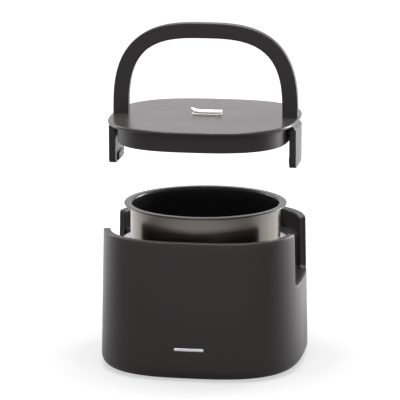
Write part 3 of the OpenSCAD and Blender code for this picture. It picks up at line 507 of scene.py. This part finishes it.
# The same plastic, a shade darker and less glossy than the shell
inner_polypropylene = moulded_plastic("inner_charcoal_polypropylene", "#242021", 0.4, 0.5, 0.02)
fit_out(inner_parts, inner_polypropylene, "base", "top_deck")

# Front light
# A round-ended lens in diffusing light grey plastic, clipped in from behind, stands a hair proud
# of the shell. Its board with three lamps lies behind it.

lens_face, lens_round, lens_depth = light_low.y, 0.5, 3
levels = [(lens_face + down, off) for down, off in reversed(rounding(lens_round, 5))]
levels += [(lens_face + lens_depth, 0)]
light = new_object("light_lens_bar", *along_y(bar_outline(light_z, light_w, light_h), levels))

# Polycarbonate with a diffusing filler: light grey, glossy, and light passes a little into it
diffusing_polycarbonate, tree, place = new_material("diffusing_polycarbonate")
cloud = add_node(tree, "TexNoise", {"Scale": 1 / (4 * MM), "Detail": 2.0}, {"Vector": place})
gloss = add_node(tree, "MapRange", {"To Min": 0.25, "To Max": 0.35}, {"Value": cloud})
tint = varied(tree, "#e2e5e7", cloud, 0.96, 1.03, 0, 1)
shader = add_node(tree, "BsdfPrincipled",
                  {"IOR": 1.58, "Subsurface Weight": 0.2, "Subsurface Scale": 0.001},
                  {"Base Color": tint, "Roughness": gloss})
add_node(tree, "OutputMaterial", {}, {"Surface": shader})
fit_out([light], diffusing_polycarbonate, "base", "light_lens")

# Power inlet
# A three-pin appliance inlet in black flame-retardant plastic, screwed in from behind. Its flange
# lies on the back of the shell, and three plated brass blades stand in its socket.

socket_w, socket_h, socket_depth, socket_chamfer = 24.4, 16.8, 15.0, 4.5
flange_t, flange_round, flange_corner, cup_wall, cup_corner = 1.3, 0.5, 1.2, 2.0, 1.0
mouth_bevel, mouth_deep, overlap = 0.7, 0.5, 3.0
blade_w, blade_h, blade_x, blade_drop, blade_tip = 2.0, 4.0, 7.0, 2.0, 1.2


def socket_outline(draw_in):
    """The socket's outline, a rectangle with its two upper corners cut off."""
    w, h, c = socket_w / 2 - draw_in, socket_h / 2 - draw_in, socket_chamfer - 0.6 * draw_in
    corners = [(-w, -h), (w, -h), (w, h - c), (w - c, h), (-w + c, h), (-w, h - c)]
    return [(x, inlet_z + z) for x, z in corners]


flange = box_outline(inlet_z, inlet_w, inlet_h, flange_corner)
levels = [(inlet_face - flange_t - overlap, 0)]
levels += [(inlet_face - down, off) for down, off in rounding(flange_round, 5)]
inlet = new_object("appliance_inlet", *along_y(flange, levels))
levels = [(inlet_face - flange_t - overlap - 0.5, 0), (inlet_face - mouth_deep, 0)]
levels += [(inlet_face + mouth_bevel - mouth_deep, -mouth_bevel)]
cut_away(inlet, along_y(socket_outline, levels))
sleeve = box_outline(inlet_z, socket_w + 2 * cup_wall, socket_h + 2 * cup_wall, cup_corner)
levels = [(inlet_face - socket_depth - 1.5, 0), (inlet_face - flange_t - overlap + 1, 0)]
cup = new_object("inlet_cup", *along_y(sleeve, levels))
cut_away(cup, along_y(socket_outline, [(inlet_face - socket_depth, 0), (inlet_face, 0)]))
blade_end = span("inlet_pins")[1].y
blades = []
blade_places = (("left", -blade_x, -blade_drop), ("right", blade_x, -blade_drop), ("earth", 0, blade_drop))
for name, x, z in blade_places:
    blade = box_outline(inlet_z + z, blade_w, blade_h, 0.3)
    levels = [(inlet_face - socket_depth - 1, 0), (blade_end - blade_tip, 0), (blade_end, blade_tip / 2)]
    points, faces = along_y(blade, levels)
    points = [(px + x * MM, py, pz) for px, py, pz in points]
    blades.append(new_object(f"inlet_blade_{name}", points, faces))

# Flame-retardant plastic, moulded: neutral black, with a slightly finer grain than the shell
black_inlet_plastic = moulded_plastic("black_inlet_plastic", "#1f1f20", 0.38, 0.4, 0.02, 1.5)
fit_out([inlet, cup], black_inlet_plastic, "base", "power_inlet")


def metal(name, colour, low, high, scale, depth):
    """A bare metal: its colour, the range of its roughness, and the scale of its finish in
    millimetres along X, Y and Z, which is long along the strokes of a brush or a drawing die."""
    material, tree, place = new_material(name)
    stretch = add_node(tree, "Mapping", {"Scale": tuple(1 / (s * MM) for s in scale)}, {"Vector": place})
    lines = add_node(tree, "TexNoise", {"Scale": 1.0, "Detail": 3.0}, {"Vector": stretch})
    gloss = add_node(tree, "MapRange",
                     {"From Min": 0.3, "From Max": 0.7, "To Min": low, "To Max": high},
                     {"Value": lines})
    bump = add_node(tree, "Bump", {"Strength": 0.3, "Distance": depth * MM}, {"Height": lines})
    tint = varied(tree, colour, lines, 0.93, 1.05)
    shader = add_node(tree, "BsdfPrincipled", {"Metallic": 1.0},
                      {"Base Color": tint, "Roughness": gloss, "Normal": bump})
    add_node(tree, "OutputMaterial", {}, {"Surface": shader})
    return material


# Brass, blanked and nickel flashed: pale warm metal with drawing lines along the blade
plated_brass = metal("plated_brass", "#c9b27a", 0.2, 0.34, (0.3, 6, 0.3), 0.01)
fit_out(blades, plated_brass, "base", "inlet_pins")

# Base cover and feet
# A flat polypropylene cover with vent slots closes the base from below, on four screws. Four round
# rubber feet are pushed into its cups.

feet_low, feet_high = span("rubber_feet")
foot_r, foot_edge, foot_h, dimple_r, dimple_deep = 8.0, 0.9, feet_high.z, 3.4, 0.3
feet_x, feet_y = feet_high.x - foot_r, feet_high.y - foot_r


def turned(name, profile, count=256, closed=False, place=(0, 0)):
    """A lathe piece from a profile of radius and height, on an upright axis at a place."""
    points, faces = [], []
    for i in range(count):
        q = 2 * math.pi * i / count
        points += [((r * math.cos(q) + place[0]) * MM, (r * math.sin(q) + place[1]) * MM, z * MM)
                   for r, z in profile]
    n = len(profile)
    for i in range(count):
        a, b = i * n, (i + 1) % count * n
        for k in range(n if closed else n - 1):
            m = (k + 1) % n
            if profile[k][0] < 1e-6:
                faces.append((a + k, b + m, a + m))
            elif profile[m][0] < 1e-6:
                faces.append((a + k, b + k, a + m))
            else:
                faces.append((a + k, b + k, b + m, a + m))
    return new_object(name, points, faces)


foot_profile = [(0, feet_low.z + dimple_deep), (dimple_r, feet_low.z + dimple_deep)]
foot_profile += [(dimple_r + dimple_deep, feet_low.z)]
foot_profile += [(foot_r - off, feet_low.z + down) for down, off in reversed(rounding(foot_edge, 6))]
foot_profile += [(foot_r, foot_h), (0, foot_h)]
feet = [turned(f"foot_{end}_{side}", foot_profile, 64, False, (sx * feet_x, sy * feet_y))
        for end, sy in (("front", -1), ("rear", 1)) for side, sx in (("left", -1), ("right", 1))]

# Rubber, pressed: matt near black, with a fine dusty mottle about 1 mm wide
black_rubber = moulded_plastic("black_rubber", "#191919", 0.7, 1.0, 0.04, 1.52)
fit_out(feet, black_rubber, "base", "rubber_feet")


def dress(material, *names):
    """Gives carried-over pieces their material."""
    for name in names:
        for slot in nodes[name].material_slots:
            slot.material = material


# Polypropylene with a coarser erosion, as such covers have underneath: matt, grain about 0.7 mm
dress(moulded_plastic("cover_polypropylene", "#262324", 0.55, 0.7, 0.05), "base_cover")

# Heating well
# Spun from stainless sheet: its flange lies on the deck with a rolled edge, its wall is straight,
# and its floor has a round hole through which the heating plate stands.

well_low, well_high = span("heating_well")
well_r, well_t, flange_r, plate_hole = 71.4, 0.8, well_high.x, 56.0
floor_round, throat_round, rolled_edge = 3.0, 1.2, 0.4
flange_top, well_bottom = well_high.z, well_low.z
profile = [(plate_hole, well_bottom), (plate_hole, well_bottom + well_t)]
profile += [(well_r - down, well_bottom + well_t + off) for down, off in rounding(floor_round, 8)]
profile += [(well_r, z) for z in np.linspace(well_bottom + 8, flange_top - 2, 8)]
profile += [(well_r + off, flange_top - down) for down, off in rounding(throat_round, 8)]
profile += [(flange_r - off, flange_top - down) for down, off in reversed(rounding(rolled_edge, 6))]
profile += [(flange_r - 0.1, deck_z), (well_r + well_t + 0.3, deck_z), (well_r + well_t, deck_z - 0.5)]
profile += [(well_r + well_t, well_bottom + 3), (well_r + well_t - 2, well_bottom)]
well = turned("spun_well", profile, 256, True)

# Stainless steel, spun: bright and satin, with fine rings round the axis about 0.4 mm apart
spun_stainless, tree, place = new_material("spun_stainless_steel")
parts = add_node(tree, "SeparateXYZ", {}, {0: place})
flat = add_node(tree, "CombineXYZ", {}, {0: parts.outputs[0], 1: parts.outputs[1]})
radius = add_node(tree, "VectorMath", {"operation": "LENGTH"}, {0: flat})
spread = add_node(tree, "CombineXYZ", {}, {0: radius.outputs["Value"], 2: parts.outputs[2]})
fine_rings = add_node(tree, "TexNoise", {"Scale": 1 / (0.4 * MM), "Detail": 2.0}, {"Vector": spread})
gloss = add_node(tree, "MapRange", {"To Min": 0.35, "To Max": 0.5}, {"Value": fine_rings})
bump = add_node(tree, "Bump", {"Strength": 0.3, "Distance": 0.015 * MM}, {"Height": fine_rings})
shader = add_node(tree, "BsdfPrincipled", {"Metallic": 1.0, "Base Color": linear("#e2e2df")},
                  {"Roughness": gloss, "Normal": bump})
add_node(tree, "OutputMaterial", {}, {"Surface": shader})
fit_out([well], spun_stainless, "base", "heating_well")

# Heater and its surroundings
# Under the well a cast aluminium plate carries the ring element, with a snap thermostat and a
# thermal fuse against it, a pressed reflector on spacers below and a fibre band round the wall.

# Aluminium as cast is pale and frosty, the element's annealed sheath is browner and duller, and the
# reflector's sheet is bright with long rolling lines
dress(metal("cast_aluminium", "#b4b6b8", 0.32, 0.5, (1.2, 1.2, 1.2), 0.03), "heating_plate")
dress(metal("annealed_steel_sheath", "#8a8681", 0.35, 0.5, (0.8, 0.8, 0.8), 0.02), "heating_element")
dress(metal("mill_finish_aluminium", "#b9bbbd", 0.28, 0.42, (14, 0.5, 0.5), 0.01), "heat_shield")


def dull_solid(name, colour, roughness, grain, depth, ior, spread=0.08):
    """A matt solid with a mottled colour, such as ceramic, fibre or lacquered board. Grain and
    depth are in millimetres, and spread is how much the mottle varies."""
    material, tree, place = new_material(name)
    mottle = add_node(tree, "TexNoise", {"Scale": 1 / (grain * MM), "Detail": 4.0}, {"Vector": place})
    bump = add_node(tree, "Bump", {"Strength": 0.4, "Distance": depth * MM}, {"Height": mottle})
    tint = varied(tree, colour, mottle, 1 - spread, 1 + spread)
    shader = add_node(tree, "BsdfPrincipled", {"IOR": ior, "Roughness": roughness},
                      {"Base Color": tint, "Normal": bump})
    add_node(tree, "OutputMaterial", {}, {"Surface": shader})
    return material


# Glazed ceramic is off-white and glossy, dipped resin straw yellow with a soft gloss, and fibre felt
# off-white and quite matt
dress(dull_solid("glazed_ceramic", "#ded9cb", 0.2, 2.0, 0.01, 1.55, 0.04), "thermostat")
dress(dull_solid("fuse_resin", "#cbbb8e", 0.45, 1.0, 0.02, 1.5), "thermal_fuse")
dress(dull_solid("ceramic_fibre_band", "#e3ded0", 0.9, 0.8, 0.15, 1.45, 0.12), "insulation_band")

# Boards and leads
# A control board stands on posts of the base cover, a small board with three lamps behind the
# front light. Silicone-sleeved leads run to the inlet, and stiff glass-sleeved ones to the element.

# Board lacquer is deep green and glossy, the parts' moulded cases grey and satin, a silicone sleeve
# brick red and matt, and a glass fibre one cream with a fine weave
dress(dull_solid("green_board_lacquer", "#2f6b40", 0.3, 1.5, 0.02, 1.52, 0.1), "control_board",
      "led_board")
dress(dull_solid("component_cases", "#3b4045", 0.5, 1.0, 0.03, 1.5), "board_components")
dress(dull_solid("red_silicone_sleeve", "#8a3b33", 0.55, 1.2, 0.03, 1.42), "mains_leads")
dress(dull_solid("glass_fibre_sleeve", "#d6d1c4", 0.8, 0.5, 0.08, 1.45, 0.12), "element_leads")

# Fasteners and strikes
# Steel screws, pins and clips and the two latch strikes, all zinc plated: pale grey, softly
# bright, with a crystal mottle about 1.5 mm wide.

zinc_plated_steel = metal("zinc_plated_steel", "#a9acaf", 0.24, 0.42, (1.5, 1.5, 1.5), 0.01)
dress(zinc_plated_steel, "base_screws", "board_screws", "clip_screws", "thermostat_clip",
      "shield_spacers", "latch_catches", "catch_screws", "inner_lid_screws", "handle_screws",
      "latch_pins", "latch_springs")

# Cooking pot
# A spun aluminium pot with a flared, curled rim. Outside it has a warm grey lacquer over fine
# turning lines, and inside and over the rim a baked non-stick coating.

pot_low, pot_high = span("cooking_pot")
pot_base, pot_top, pot_rim_r = pot_low.z, pot_high.z, pot_high.x
pot_r, pot_wall, pot_round, rim_t, flare, mouth = 70.5, 1.6, 11.0, 1.5, 1.8, 2.2
bore, inner_round = pot_r - pot_wall, pot_round - pot_wall
outer = [(r, pot_base) for r in (0, 20, 40)]
outer += [(pot_r - down, pot_base + off) for down, off in rounding(pot_round, 14)]
outer += [(pot_r, z) for z in np.linspace(pot_base + pot_round + 4, pot_top - rim_t - flare, 10)]
outer += [(pot_r + off, pot_top - rim_t - down) for down, off in rounding(flare, 7)[1:]]
curl = rim_t / 2
outer += [(pot_rim_r - curl + curl * math.sin(q), pot_top - curl - curl * math.cos(q))
          for q in np.linspace(0, math.pi, 12)[:-1]]
inside = [(pot_rim_r - curl, pot_top), (bore + mouth + 1, pot_top)]
inside += [(bore + off, pot_top - down) for down, off in reversed(rounding(mouth, 7))]
inside += [(bore, z) for z in np.linspace(pot_top - 8, pot_base + pot_round + 2, 10)]
inside += [(pot_r - pot_round + inner_round * math.cos(q),
            pot_base + pot_round - inner_round * math.sin(q)) for q in np.linspace(0, math.pi / 2, 14)]
inside += [(r, pot_base + pot_wall) for r in (40, 20, 0)]
pot = turned("inner_pot", outer + inside)
for polygon in pot.data.polygons:
    r, z = math.hypot(polygon.center.x, polygon.center.y) / MM, polygon.center.z / MM
    over_rim = z > pot_top - curl
    in_bore = r < pot_r - pot_wall / 2 and z > pot_base + pot_wall / 2
    in_mouth = r < pot_r - 0.02 and z > pot_top - mouth
    polygon.material_index = 1 if over_rim or in_bore or in_mouth else 0

# Aluminium, spun and lacquered: warm grey, softly bright, with turning lines about 0.6 mm apart
lacquered_aluminium = metal("lacquered_spun_aluminium", "#87827c", 0.16, 0.26, (60, 60, 0.6), 0.01)

# Fluoropolymer coating, sprayed and baked: nearly black with a soft gloss and pale specks 0.2 mm
# wide, drawn at 0.5 mm so that they show, about 3 mm apart
nonstick_coating, tree, place = new_material("nonstick_coating")
peel = add_node(tree, "TexNoise", {"Scale": 1 / (0.9 * MM), "Detail": 2.0}, {"Vector": place})
specks = add_node(tree, "TexVoronoi", {"Scale": 1 / (3 * MM)}, {"Vector": place})
spot = add_node(tree, "MapRange",
                {"From Min": 0.06, "From Max": 0.1, "To Min": 0.6, "To Max": 0.0},
                {"Value": specks.outputs["Distance"]})
blend = add_node(tree, "Mix", {"data_type": "RGBA", 6: linear("#232121"), 7: linear("#5c5957")}, {0: spot})
bump = add_node(tree, "Bump", {"Strength": 0.3, "Distance": 0.02 * MM}, {"Height": peel})
shader = add_node(tree, "BsdfPrincipled", {"Roughness": 0.24, "IOR": 1.45},
                  {"Base Color": blend.outputs[2], "Normal": bump})
add_node(tree, "OutputMaterial", {}, {"Surface": shader})
fit_out([pot], lacquered_aluminium, "pot", "cooking_pot")
pot.data.materials.append(nonstick_coating)

# Lid plate
# A thin polypropylene plate on a rounded-square plan, with soft edges, welded to the lid frame. A
# hole lets the steam tube through.

lid_low, lid_high = span("lid_plate")
lid_z, lid_base = lid_high.z, lid_low.z
lid_half_w, lid_half_d, lid_power, lid_points = lid_high.x, lid_high.y, 2.75, 240
edge_top, edge_low = 1.5, 1.3
vent_y, steam_x, steam_r, tube_wall = 6.0, -9.5, 2.6, 1.6


def rounded_square(a, b):
    """Evenly spaced points of the lid's rounded-square plan."""
    angles = np.linspace(0, 2 * math.pi, 8001)
    x = a * np.sign(np.cos(angles)) * np.abs(np.cos(angles)) ** (2 / lid_power)
    y = b * np.sign(np.sin(angles)) * np.abs(np.sin(angles)) ** (2 / lid_power)
    at = np.concatenate([[0], np.cumsum(np.hypot(np.diff(x), np.diff(y)))])
    even = np.linspace(0, at[-1], lid_points + 1)[:-1]
    return list(zip(np.interp(even, at, x).tolist(), np.interp(even, at, y).tolist()))


def stacked(name, levels, closed=False):
    """A solid through rounded-square rings, each a half width, a half depth and a height."""
    rings = [[(x, y, z) for x, y in rounded_square(a, b)] for a, b, z in levels]
    return new_object(name, *join_rings(rings, closed))


def upright(radius, low, high):
    """A round post in the place of the steam tube, as points and faces."""
    angles = np.linspace(0, 2 * math.pi, 49)[:-1]
    ring = [(steam_x + radius * math.cos(q), vent_y + radius * math.sin(q)) for q in angles]
    return join_rings([[(x, y, z) for x, y in ring] for z in (low, high)])


heights = [(lid_base + down, off) for down, off in reversed(rounding(edge_low, 6))]
heights += [(lid_z - down, off) for down, off in rounding(edge_top, 9)]
heights += [(lid_z, off) for off in (3, 8, 20, 40, 60, 80)]
levels = [(lid_half_w - off, lid_half_d - off, z) for z, off in heights]
plate = stacked("lid_top", levels)
cut_away(plate, upright(steam_r + tube_wall, lid_base - 1, lid_z + 1))

# Polypropylene from a smoother tool: a shade lighter and glossier than the shell, with a shallow grain
lid_polypropylene = moulded_plastic("lid_charcoal_polypropylene", "#2f292a", 0.26, 0.5, 0.012)
fit_out([plate], lid_polypropylene, "lid", "lid_plate")

# Lid frame
# The moulded frame under the plate: a neck, a bead that stops at the tabs, and a straight skirt
# that drops inside the rim. Two ears on each side hold a latch pin.

frame_low, frame_high = span("lid_frame")
skirt_half, skirt_wall, neck_h, bead_h, bead_out, bead_round = 79.8, 2.4, 1.2, 2.4, 1.2, 0.6
web_t, web_half, lip_round = 2.0, 75.0, 0.8
frame_top, skirt_low = frame_high.z - 0.02, frame_low.z
bead_top = frame_top - neck_h
bead_low = bead_top - bead_h
profile = [(-8, frame_top), (-0.4, frame_top), (0, frame_top - 0.3), (0, bead_top + 0.25), (0.2, bead_top)]
profile += [(bead_out - off, bead_top - down) for down, off in reversed(rounding(bead_round, 5))]
profile += [(bead_out - off, bead_low + down) for down, off in rounding(bead_round, 5)]
profile += [(0.25, bead_low), (0, bead_low - 0.25), (0, bead_low - 2)]
profile += [(0, z) for z in np.linspace(bead_low - 4, skirt_low + lip_round + 0.2, 5)]
profile += [(-off, skirt_low + down) for down, off in rounding(lip_round, 5)]
profile += [(-skirt_wall + off, skirt_low + down) for down, off in reversed(rounding(lip_round, 5))]
profile += [(-skirt_wall, frame_top - web_t), (-8, frame_top - web_t)]
levels = [(skirt_half + off, skirt_half + off, z) for off, z in profile]
skirt = stacked("lid_skirt", levels, True)
web = stacked("lid_web", [(web_half, web_half, z) for z in (frame_top - web_t, frame_top)])
cut_away(web, upright(steam_r + tube_wall, frame_top - 5, frame_top + 1))

latch_low, latch_high = span("latch_right")
pin_low, pin_high = span("latch_pins")
pin_r = (pin_high.z - pin_low.z) / 2
pin_x, pin_z = pin_high.x - pin_r, (pin_low.z + pin_high.z) / 2
ear_y, ear_r, ear_half, ear_root = 13.2, 2.6, 1.3, skirt_half - 1.5
bead_gap, bead_root, bead_past = latch_high.y + 1, skirt_half + 0.05, skirt_half + 9


def eased(obj, width):
    """Rounds every edge that is sharper than 30 degrees."""
    change = obj.modifiers.new("ease", "BEVEL")
    change.limit_method, change.angle_limit = "ANGLE", math.radians(30)
    change.width, change.segments = width * MM, 3
    keep_modified(obj)


def across(outline, y0, y1, side):
    """A prism along Y from an outline of x and z on the right, mirrored where side is -1."""
    return join_rings([[(side * x, y, z) for x, z in outline] for y in (y0, y1)])


bead_cut = [(bead_root, bead_low - 0.3), (bead_past, bead_low - 0.3),
            (bead_past, bead_top + 0.1), (bead_root, bead_top + 0.1)]
ear_outline = [(ear_root, pin_z - ear_r)]
ear_outline += arc(pin_x, pin_z, ear_r, -90, 90, 17)
ear_outline += [(ear_root, pin_z + ear_r)]
frame_parts = [skirt, web]
for side, word in ((1, "right"), (-1, "left")):
    cut_away(skirt, across(bead_cut, -bead_gap, bead_gap, side))
    for y, end in ((ear_y, "rear"), (-ear_y, "front")):
        ear = new_object(f"pin_ear_{word}_{end}", *across(ear_outline, y - ear_half, y + ear_half, side))
        eased(ear, 0.3)
        frame_parts.append(ear)

# The shell's plastic and colour, but duller
frame_polypropylene = moulded_plastic("frame_charcoal_polypropylene", "#282223", 0.48, 0.5, 0.02)
fit_out(frame_parts, frame_polypropylene, "lid", "lid_frame")

# Inner lid and seal
# A pressed stainless inner lid is screwed under the frame. The silicone seal sits in its channel
# and bears on the pot's rim.

# Pressed stainless sheet is bright with fine rolling lines, and moulded silicone white and matt
dress(metal("pressed_stainless_steel", "#c9cac9", 0.2, 0.34, (30, 0.5, 30), 0.008), "inner_lid")
white_silicone = dull_solid("white_silicone_rubber", "#eeeeeb", 0.48, 0.9, 0.03, 1.42, 0.03)
dress(white_silicone, "lid_seal", "well_gasket")

# Steam vent
# White silicone, pressure moulded: a seat on the lid with a tube through it and two ears, and over
# it a flap on small trunnions between the ears, whose free tip curls up as a finger grip.

seat_bottom, flap_end = span("vent_seat")[0].z, span("vent_flap")[1].x
flap_l, flap_w, flap_t, tip_l, tip_rise = 29.0, 9.0, 2.4, 9.0, 3.0
seat_w, seat_t, seat_corner, seat_edge = flap_w - 0.4, 1.0, 0.6, 0.4
play, trunnion_r, vent_ear_t, vent_ear_r = 0.15, 0.8, 1.4, 1.3
hinge_x, hinge_z = flap_end - flap_t / 2, lid_z + seat_t + play + flap_t / 2
seat_tip, seat_end = 0.3 - flap_l / 2 + seat_w / 2, hinge_x + vent_ear_r


def seat_outline(draw_in):
    """Plan of the seat, round at the tip and square with eased corners at the hinge."""
    end, half = seat_end - draw_in - seat_corner, seat_w / 2 - draw_in - seat_corner
    plan = arc(seat_tip, 0, seat_w / 2 - draw_in, 90, 270, 24)
    plan += arc(end, -half, seat_corner, 270, 360, 5)
    return plan + arc(end, half, seat_corner, 0, 90, 5)


levels = [(lid_z - 0.02, 0)]
levels += [(lid_z + seat_t - down, off) for down, off in rounding(seat_edge, 5)]
points, faces = along_y(seat_outline, levels)
seat = new_object("vent_base", [(x, vent_y * MM - z, y) for x, y, z in points], faces)
cut_away(seat, upright(steam_r, lid_z - 1, lid_z + 3))
tube_profile = [(steam_r, seat_bottom), (steam_r + tube_wall, seat_bottom),
                (steam_r + tube_wall, lid_z), (steam_r, lid_z)]
tube = turned("steam_tube", tube_profile, 64, True, (steam_x, vent_y))
vent_parts = [seat, tube]
vent_ear = [(hinge_x - vent_ear_r, lid_z)]
vent_ear += arc(hinge_x, hinge_z, vent_ear_r, 180, 0, 15)
vent_ear += [(hinge_x + vent_ear_r, lid_z)]
for sign, end in ((-1, "front"), (1, "rear")):
    middle = vent_y + sign * (seat_w - vent_ear_t) / 2
    y0, y1 = middle - vent_ear_t / 2, middle + vent_ear_t / 2
    ear = new_object(f"vent_ear_{end}", *across(vent_ear, y0, y1, 1))
    eased(ear, 0.2)
    vent_parts.append(ear)

# The flap runs from the hinge to its tip, with a round nose, a flat oval section and a rising tip
rings = []
for t in np.linspace(0, 1, 61):
    bend = max(0.0, (tip_l - flap_l + t * flap_l) / tip_l)
    rise, thick, wide = tip_rise * bend ** 2, flap_t / 2 * (1 - 0.4 * bend), flap_w / 2
    nose, tip = min(1, t * flap_l / (flap_t / 2)), min(1, (1 - t) * flap_l / (flap_w / 2))
    thick *= math.sqrt(1 - (1 - nose) ** 2) * (1 - (1 - tip) ** 6)
    wide *= math.sqrt(1 - (1 - tip) ** 2)
    ring = []
    for q in np.linspace(0, 2 * math.pi, 33)[:-1]:
        c, s = math.cos(q), math.sin(q)
        y = vent_y + max(wide, 0.05) * math.copysign(abs(c) ** 0.4, c)
        z = hinge_z + rise + max(thick, 0.05) * math.copysign(abs(s) ** 0.6, s)
        ring.append((hinge_x + flap_t / 2 - t * flap_l, y, z))
    rings.append(ring)
flap = new_object("vent_flap_silicone", *join_rings(rings))
neck, neck_from = seat_w / 2 - vent_ear_t - play, hinge_x - vent_ear_r - play
trunnion_reach = flap_w / 2 - 0.3
room = [(neck_from, lid_z), (hinge_x + 5, lid_z), (hinge_x + 5, hinge_z + 5), (neck_from, hinge_z + 5)]
for y0, y1 in ((vent_y + neck, vent_y + flap_w), (vent_y - flap_w, vent_y - neck)):
    cut_away(flap, across(room, y0, y1, 1))
trunnion_ring = arc(hinge_x, hinge_z, trunnion_r, 0, 345, 24)
y0, y1 = vent_y - trunnion_reach, vent_y + trunnion_reach
trunnion = new_object("vent_trunnion", *across(trunnion_ring, y0, y1, 1))

fit_out(vent_parts, white_silicone, "lid", "vent_seat")
fit_out([flap, trunnion], white_silicone, "vent_flap", "vent_flap")

# Carry handle
# A fixed arch in glass-filled plastic, nearly black, of a flat section with eased edges. A screw
# from under the lid holds each foot.

handle_low, handle_high = span("handle")
handle_half, handle_top, handle_power = handle_high.x, handle_high.z, 2.95
band, band_deep, band_round, beside = 14.5, handle_high.y - handle_low.y, 1.2, 0.4
turns = np.linspace(0, math.pi, 6001)
reach, rise = handle_half - band / 2, handle_top - lid_z - band / 2
arch_x = -reach * np.sign(np.cos(turns)) * np.abs(np.cos(turns)) ** (2 / handle_power)
arch_z = lid_z + rise * np.sin(turns).clip(0) ** (2 / handle_power)
at = np.concatenate([[0], np.cumsum(np.hypot(np.diff(arch_x), np.diff(arch_z)))])
even = np.linspace(0, at[-1], 161)
line = list(zip(np.interp(even, at, arch_x).tolist(), np.interp(even, at, arch_z).tolist()))

# The section's corners are arcs, and a point close beside each end of an arc keeps the flats flat
section = []
reach_u, reach_v = band / 2 - band_round, band_deep / 2 - band_round
for su, sv, start in ((1, -1, -90), (1, 1, 0), (-1, 1, 90), (-1, -1, 180)):
    corner = arc_out(su * reach_u, sv * reach_v, band_round, start, start + 90, 6)
    (u0, v0, c0, s0), (u1, v1, c1, s1) = corner[0], corner[-1]
    section.append((u0 + beside * s0, v0 - beside * c0))
    section += [(u, v) for u, v, c, s in corner]
    section.append((u1 - beside * s1, v1 + beside * c1))
rings = []
for i, (x, z) in enumerate(line):
    before, after = line[max(i - 1, 0)], line[min(i + 1, len(line) - 1)]
    run = Vector((after[0] - before[0], after[1] - before[1])).normalized()
    if i in (0, len(line) - 1):
        run = Vector((0, 1 if i == 0 else -1))
    rings.append([(x - u * run.y, v, z + u * run.x) for u, v in section])
handle = new_object("carry_handle", *join_rings(rings))

# Glass-filled plastic, moulded: darker than the shell, with the same satin grain
glass_filled_plastic = moulded_plastic("glass_filled_black_plastic", "#1e1a1b", 0.38, 0.5, 0.02)
fit_out([handle], glass_filled_plastic, "lid", "handle")

# Latch tabs
# Each tab is a moulded lever on a steel pin beside the skirt, with a hook in the middle of its foot.
# Its lower corners are round, its top slants outwards, and slots clear the pin's ears and spring.

tab_out, tab_half, tab_round = latch_high.x, latch_high.y, 5.0
tab_low, tab_top = latch_low.z, latch_high.z
outer_slant_w, outer_slant_h, inner_slant_h = 3.5, 4.3, 4.9
hook_in, hook_top, hook_half, hook_root = latch_low.x, lid_z - 36, 11.0, 0.8
tab_in = hook_in + 1.7
tab_outline = [(tab_out, tab_low), (tab_out, tab_top - outer_slant_h), (tab_out - outer_slant_w, tab_top),
               (pin_x - 0.3, tab_top), (tab_in, tab_top - inner_slant_h), (tab_in, tab_low)]
hook_outline = [(tab_in + hook_root, hook_top + 1), (tab_in, hook_top + 1), (hook_in, hook_top),
                (hook_in, tab_low + 2.5), (tab_in, tab_low + 0.5), (tab_in + hook_root, tab_low + 0.8)]
slot_outline = [(tab_in - 3, pin_z - 5.5), (tab_in + 2, pin_z - 5.5)]
slot_outline += arc(pin_x, pin_z, ear_r + 0.3, -80, 80, 13)
slot_outline += [(tab_in + 2, tab_top + 1), (tab_in - 3, tab_top + 1)]

# The shell's plastic, a shade darker
latch_polypropylene = moulded_plastic("latch_charcoal_polypropylene", "#1d191a", 0.34, 0.5, 0.02)
for side, word in ((1, "right"), (-1, "left")):
    tab = new_object(f"latch_tab_{word}", *across(tab_outline, -tab_half, tab_half, side))
    for y, start, end in ((tab_round - tab_half, 270, 180), (tab_half - tab_round, 270, 360)):
        far = math.copysign(tab_half + 2, y)
        waste = arc(y, tab_low + tab_round, tab_round, start, end, 9)
        waste += [(far, tab_low + tab_round), (far, tab_low - 2), (y, tab_low - 2)]
        rings = [[(side * x, py, pz) for py, pz in waste] for x in (hook_in - 2, tab_out + 2)]
        cut_away(tab, join_rings(rings))
    for y, half in ((-ear_y, ear_half + 0.3), (0, 5), (ear_y, ear_half + 0.3)):
        cut_away(tab, across(slot_outline, y - half, y + half, side))
    eased(tab, 0.45)
    hook = new_object(f"latch_hook_{word}", *across(hook_outline, -hook_half, hook_half, side))
    eased(hook, 0.2)
    fit_out([tab, hook], latch_polypropylene, f"latch_{word}", f"latch_{word}")
